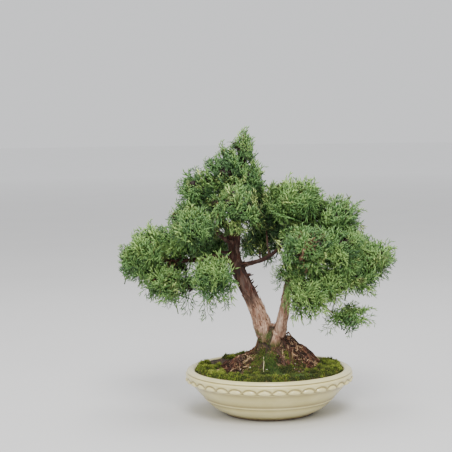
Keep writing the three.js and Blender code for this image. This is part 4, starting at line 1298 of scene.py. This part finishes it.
def moss_rise(x, y, lumps):
    """Height of the cushions over the patch's floor."""
    centres, sizes, heights = lumps
    distance = np.hypot(x[:, None] - centres[:, 0], y[:, None] - centres[:, 1]) / sizes
    return (heights * np.sqrt(np.clip(1 - distance**2, 0, 1))).max(1)


def patch_cover(x, y, radius, angle, patch):
    """From 0 at a patch's ragged edge to 1 well inside it."""
    start, end = np.radians((patch["start"], patch["end"]))
    sideways = np.minimum(angle - start, end - angle) * radius
    inwards = radius - patch["inner"]
    return smoothstep(0, 5, np.minimum(sideways, inwards) + 3.5 * noise(on_plan(x, y), 6, 71))


def moss_height(x, y, cover, lumps):
    """Rounded off towards the pot's rim and sunk into the soil where there's no moss."""
    edge = smoothstep(MOSS_OUTER - 6, MOSS_OUTER, oval_radius(x, y))
    rise = (MOSS_DEPTH + moss_rise(x, y, lumps)) * (1 - 0.6 * edge)
    return ground_height(x, y) + cover * rise - 0.9 * (1 - cover) - RIM_ROUNDING * edge


def cushion_body(patch, lumps):
    """The cushion under the stems: a grid over the patch, closed below."""
    grid = np.arange(CUSHION_ROWS * CUSHION_COLUMNS).reshape(CUSHION_ROWS, CUSHION_COLUMNS)
    across = np.linspace(patch["inner"] - 1, MOSS_OUTER, CUSHION_ROWS)
    round_pot = np.radians(np.linspace(patch["start"] - 1, patch["end"] + 1, CUSHION_COLUMNS))
    radius, angle = (part.ravel() for part in np.meshgrid(across, round_pot, indexing="ij"))
    x, y = oval_point(radius, angle)
    top = np.stack([x, y, moss_height(x, y, patch_cover(x, y, radius, angle, patch), lumps)], -1)
    low = np.stack([x, y, np.minimum(top[:, 2] - 1, ground_height(x, y) - 1.4)], -1)
    a, b, c, d = grid[:-1, :-1], grid[1:, :-1], grid[1:, 1:], grid[:-1, 1:]
    upper = np.concatenate([np.stack(three, -1).reshape(-1, 3) for three in ((a, b, c), (a, c, d))])
    rim = np.concatenate([grid[0, :], grid[1:, -1], grid[-1, -2::-1], grid[-2:0:-1, 0]])
    after = np.roll(rim, -1)
    below = after + grid.size
    wall = [np.stack([rim, after, below], -1), np.stack([rim, below, rim + grid.size], -1)]
    triangles = np.concatenate([upper, upper[:, ::-1] + grid.size, *wall])
    return Form(np.vstack([top, low]), triangles, [(0, 0.2), (1, 0.2), (0.5, 0.4)])


def build_moss(name, seed):
    """A patch of lumpy cushions under a pile of short stems, with a ragged edge."""
    random = random_numbers(seed)
    patch = MOSS_PATCHES[name]
    lumps = moss_lumps(random, patch)
    batch = Batch()
    # The cushion takes a dark column low on the strip, so it shows near black in the gaps between the stems:
    # painted shade.
    batch.add(cushion_body(patch, lumps), 2)
    count = patch["stems"]
    angle = random.uniform(*np.radians((patch["start"], patch["end"])), count)
    radius = np.sqrt(random.uniform(patch["inner"] ** 2, (MOSS_OUTER - 0.3) ** 2, count))
    x, y = oval_point(radius, angle)
    cover = patch_cover(x, y, radius, angle, patch)
    keep = (cover > 0.15) & (moss_rise(x, y, lumps) > 1.2 * random.random(count))
    x, y, cover = x[keep], y[keep], cover[keep]
    rise = moss_rise(x, y, lumps)
    height = random.uniform(1.1, 2.4, len(x)) * (0.7 + 0.12 * rise)
    feet, tips = leaning(random, x, y, moss_height(x, y, cover, lumps), height, 0.5)
    tips[:, 2] += 0.4
    tips[:, :2] *= np.minimum(1, (MOSS_OUTER + 0.8) / oval_radius(tips[:, 0], tips[:, 1]))[:, None]
    # Painted light and shade: stems on the tops of the cushions are lighter and those in the hollows between
    # them darker.
    tone = patch["tone"] + 1.3 * noise(on_plan(x, y), 14, 75) + 1.7 * (rise - 2.5)
    column = tone_columns(tone + random.normal(0, 0.7, len(x)))
    column[random.random(len(x)) < DRY_SHARE] = DRY_MOSS_COLUMN
    batch.add(spikes(feet, tips, random.uniform(0.42, 0.78, len(x)), random), column)
    show_form("fine_" + name, batch.whole(), moss_material, name)


def add_tufts(batch):
    """Fine upright tufts and thin moss on the slope of the mound."""
    random = random_numbers(81)
    for cx, cy, spread, count, tall, column in TUFTS:
        x = cx + random.normal(0, spread * 0.5, count)
        y = cy + random.normal(0, spread * 0.4, count)
        rise = tall * random.uniform(0.5, 1.1, count)
        feet, tips = leaning(random, x, y, ground_height(x, y), rise, 0.32)
        tips[:, 1] -= 0.12 * rise
        batch.add(spikes(feet, tips, 0.4, random), column + random.integers(0, 3, count))
    for cx, cy, spread, count, tone in MOUND_MOSS:
        x = cx + random.normal(0, spread * 0.6, count)
        y = cy + random.normal(0, spread * 0.6, count)
        keep = np.hypot(x - STUMP[0], y - STUMP[1]) > STUMP[2] - 1
        x, y = x[keep], y[keep]
        z = ground_height(x, y) + 0.8 * noise(on_plan(x, y), 5, 83)
        feet, tips = leaning(random, x, y, z, random.uniform(1.4, 3.2, len(x)), 0.5)
        column = tone_columns(tone + random.normal(0, 1.0, len(x)))
        batch.add(spikes(feet, tips, random.uniform(0.42, 0.75, len(x)), random), column)


def add_trunk_moss(batch, points, normals):
    """Moss stems low on the trunk, left of the fork's crease."""
    random = random_numbers(91)
    height = points[:, 2]
    low, high = TRUNK_MOSS_HEIGHTS
    spots = np.flatnonzero((height > low) & (height < high) & (normals[:, 2] > -0.3))
    spots = spots[noise(points[spots], 7, 92) + (98 - height[spots]) / 14 > 0.2]
    spots = spots[(right_of_fork(points[spots]) < 0.5) | (height[spots] < 87)]
    spots = random.permutation(spots)[:TRUNK_MOSS_STEMS]
    feet = points[spots] - 0.3 * normals[spots]
    rise = random.uniform(0.9, 2.0, len(spots))[:, None]
    tips = feet + rise * unit(normals[spots] + 0.5 * UP + random.normal(0, 0.4, (len(spots), 3)))
    batch.add(spikes(feet, tips, 0.42, random), random.integers(2, 6, len(spots)))


def build_grass(points, normals):
    batch = Batch()
    add_tufts(batch)
    add_trunk_moss(batch, points, normals)
    show_form("grass_and_trunk_moss", batch.whole(), moss_material)


# Stage: floor, lights and the camera at the photograph's angle

FLOOR_RADIUS = 25.0
LAMP_TARGET = Vector((0, 0, 0.17))
LAMPS = [  # name, place, size and power
    ("key", (0.1, -1.45, 1.9), 1.0, 56.0),
    ("fill", (-1.5, -1.1, 1.2), 1.4, 10.0),
    ("top", (0.0, 0.3, 2.2), 1.2, 28.0)]
CAMERA_PLACE = Vector((-0.051, -1.410, 0.350))
CAMERA_PITCH = math.radians(4.78)
CAMERA_ROLL = math.radians(-0.8)
FOCAL_LENGTH = 91.6


def floor_material():
    """Plain, and paler far away, where it meets the world's light: painted light, which hides the floor's
    edge.
    """
    shader = Shader("pale_floor")
    tone = shader.ramp(shader.distance(FLOOR_RADIUS), [(0.06, rgb(204, 203, 202)), (0.3, rgb(248, 248, 248))])
    return shader.finish(shader.mottled(tone, 260, 2, (0.4, 0.985), (0.6, 1)), 0.8)


def build_stage():
    bpy.ops.mesh.primitive_circle_add(vertices=96, radius=FLOOR_RADIUS, fill_type="NGON", location=(0, 0, 0))
    floor = bpy.context.object
    floor.name = "floor"
    floor.data.materials.append(floor_material())
    world = bpy.data.worlds.new("studio")
    bpy.context.scene.world = world
    world.use_nodes = True
    background = world.node_tree.nodes["Background"]
    background.inputs["Color"].default_value = (0.97, 0.98, 1.0, 1)
    background.inputs["Strength"].default_value = 0.95
    for name, place, size, power in LAMPS:
        lamp = new_object(name, given(bpy.data.lights.new(name, "AREA"), size=size, energy=power))
        lamp.location = place
        lamp.rotation_euler = (LAMP_TARGET - Vector(place)).to_track_quat("-Z", "Y").to_euler()


def build_camera():
    data = bpy.data.cameras.new("camera")
    given(data, lens=FOCAL_LENGTH, sensor_width=36.0, clip_start=0.05, clip_end=30.0)
    camera = new_object("camera", data)
    turn = Matrix.Rotation(math.pi / 2 - CAMERA_PITCH, 4, "X") @ Matrix.Rotation(CAMERA_ROLL, 4, "Z")
    camera.matrix_world = Matrix.Translation(CAMERA_PLACE) @ turn
    bpy.context.scene.camera = camera


build_stage()
build_camera()
build_pot()
build_soil()
build_grains()
build_roots()
for number, name in enumerate(MOSS_PATCHES):
    build_moss(name, 200 + number)
wood_points, wood_normals, wood_axes, wood_thickness = build_wood()
build_bark_strips(wood_points, wood_normals, wood_axes, wood_thickness)
build_grass(wood_points, wood_normals)
bunches = sorted(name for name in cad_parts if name.startswith("foliage_"))
all_lobes = {name: bunch_lobes(name, 400 + number) for number, name in enumerate(bunches)}
for number, name in enumerate(bunches):
    build_bunch(name, 300 + number, all_lobes)
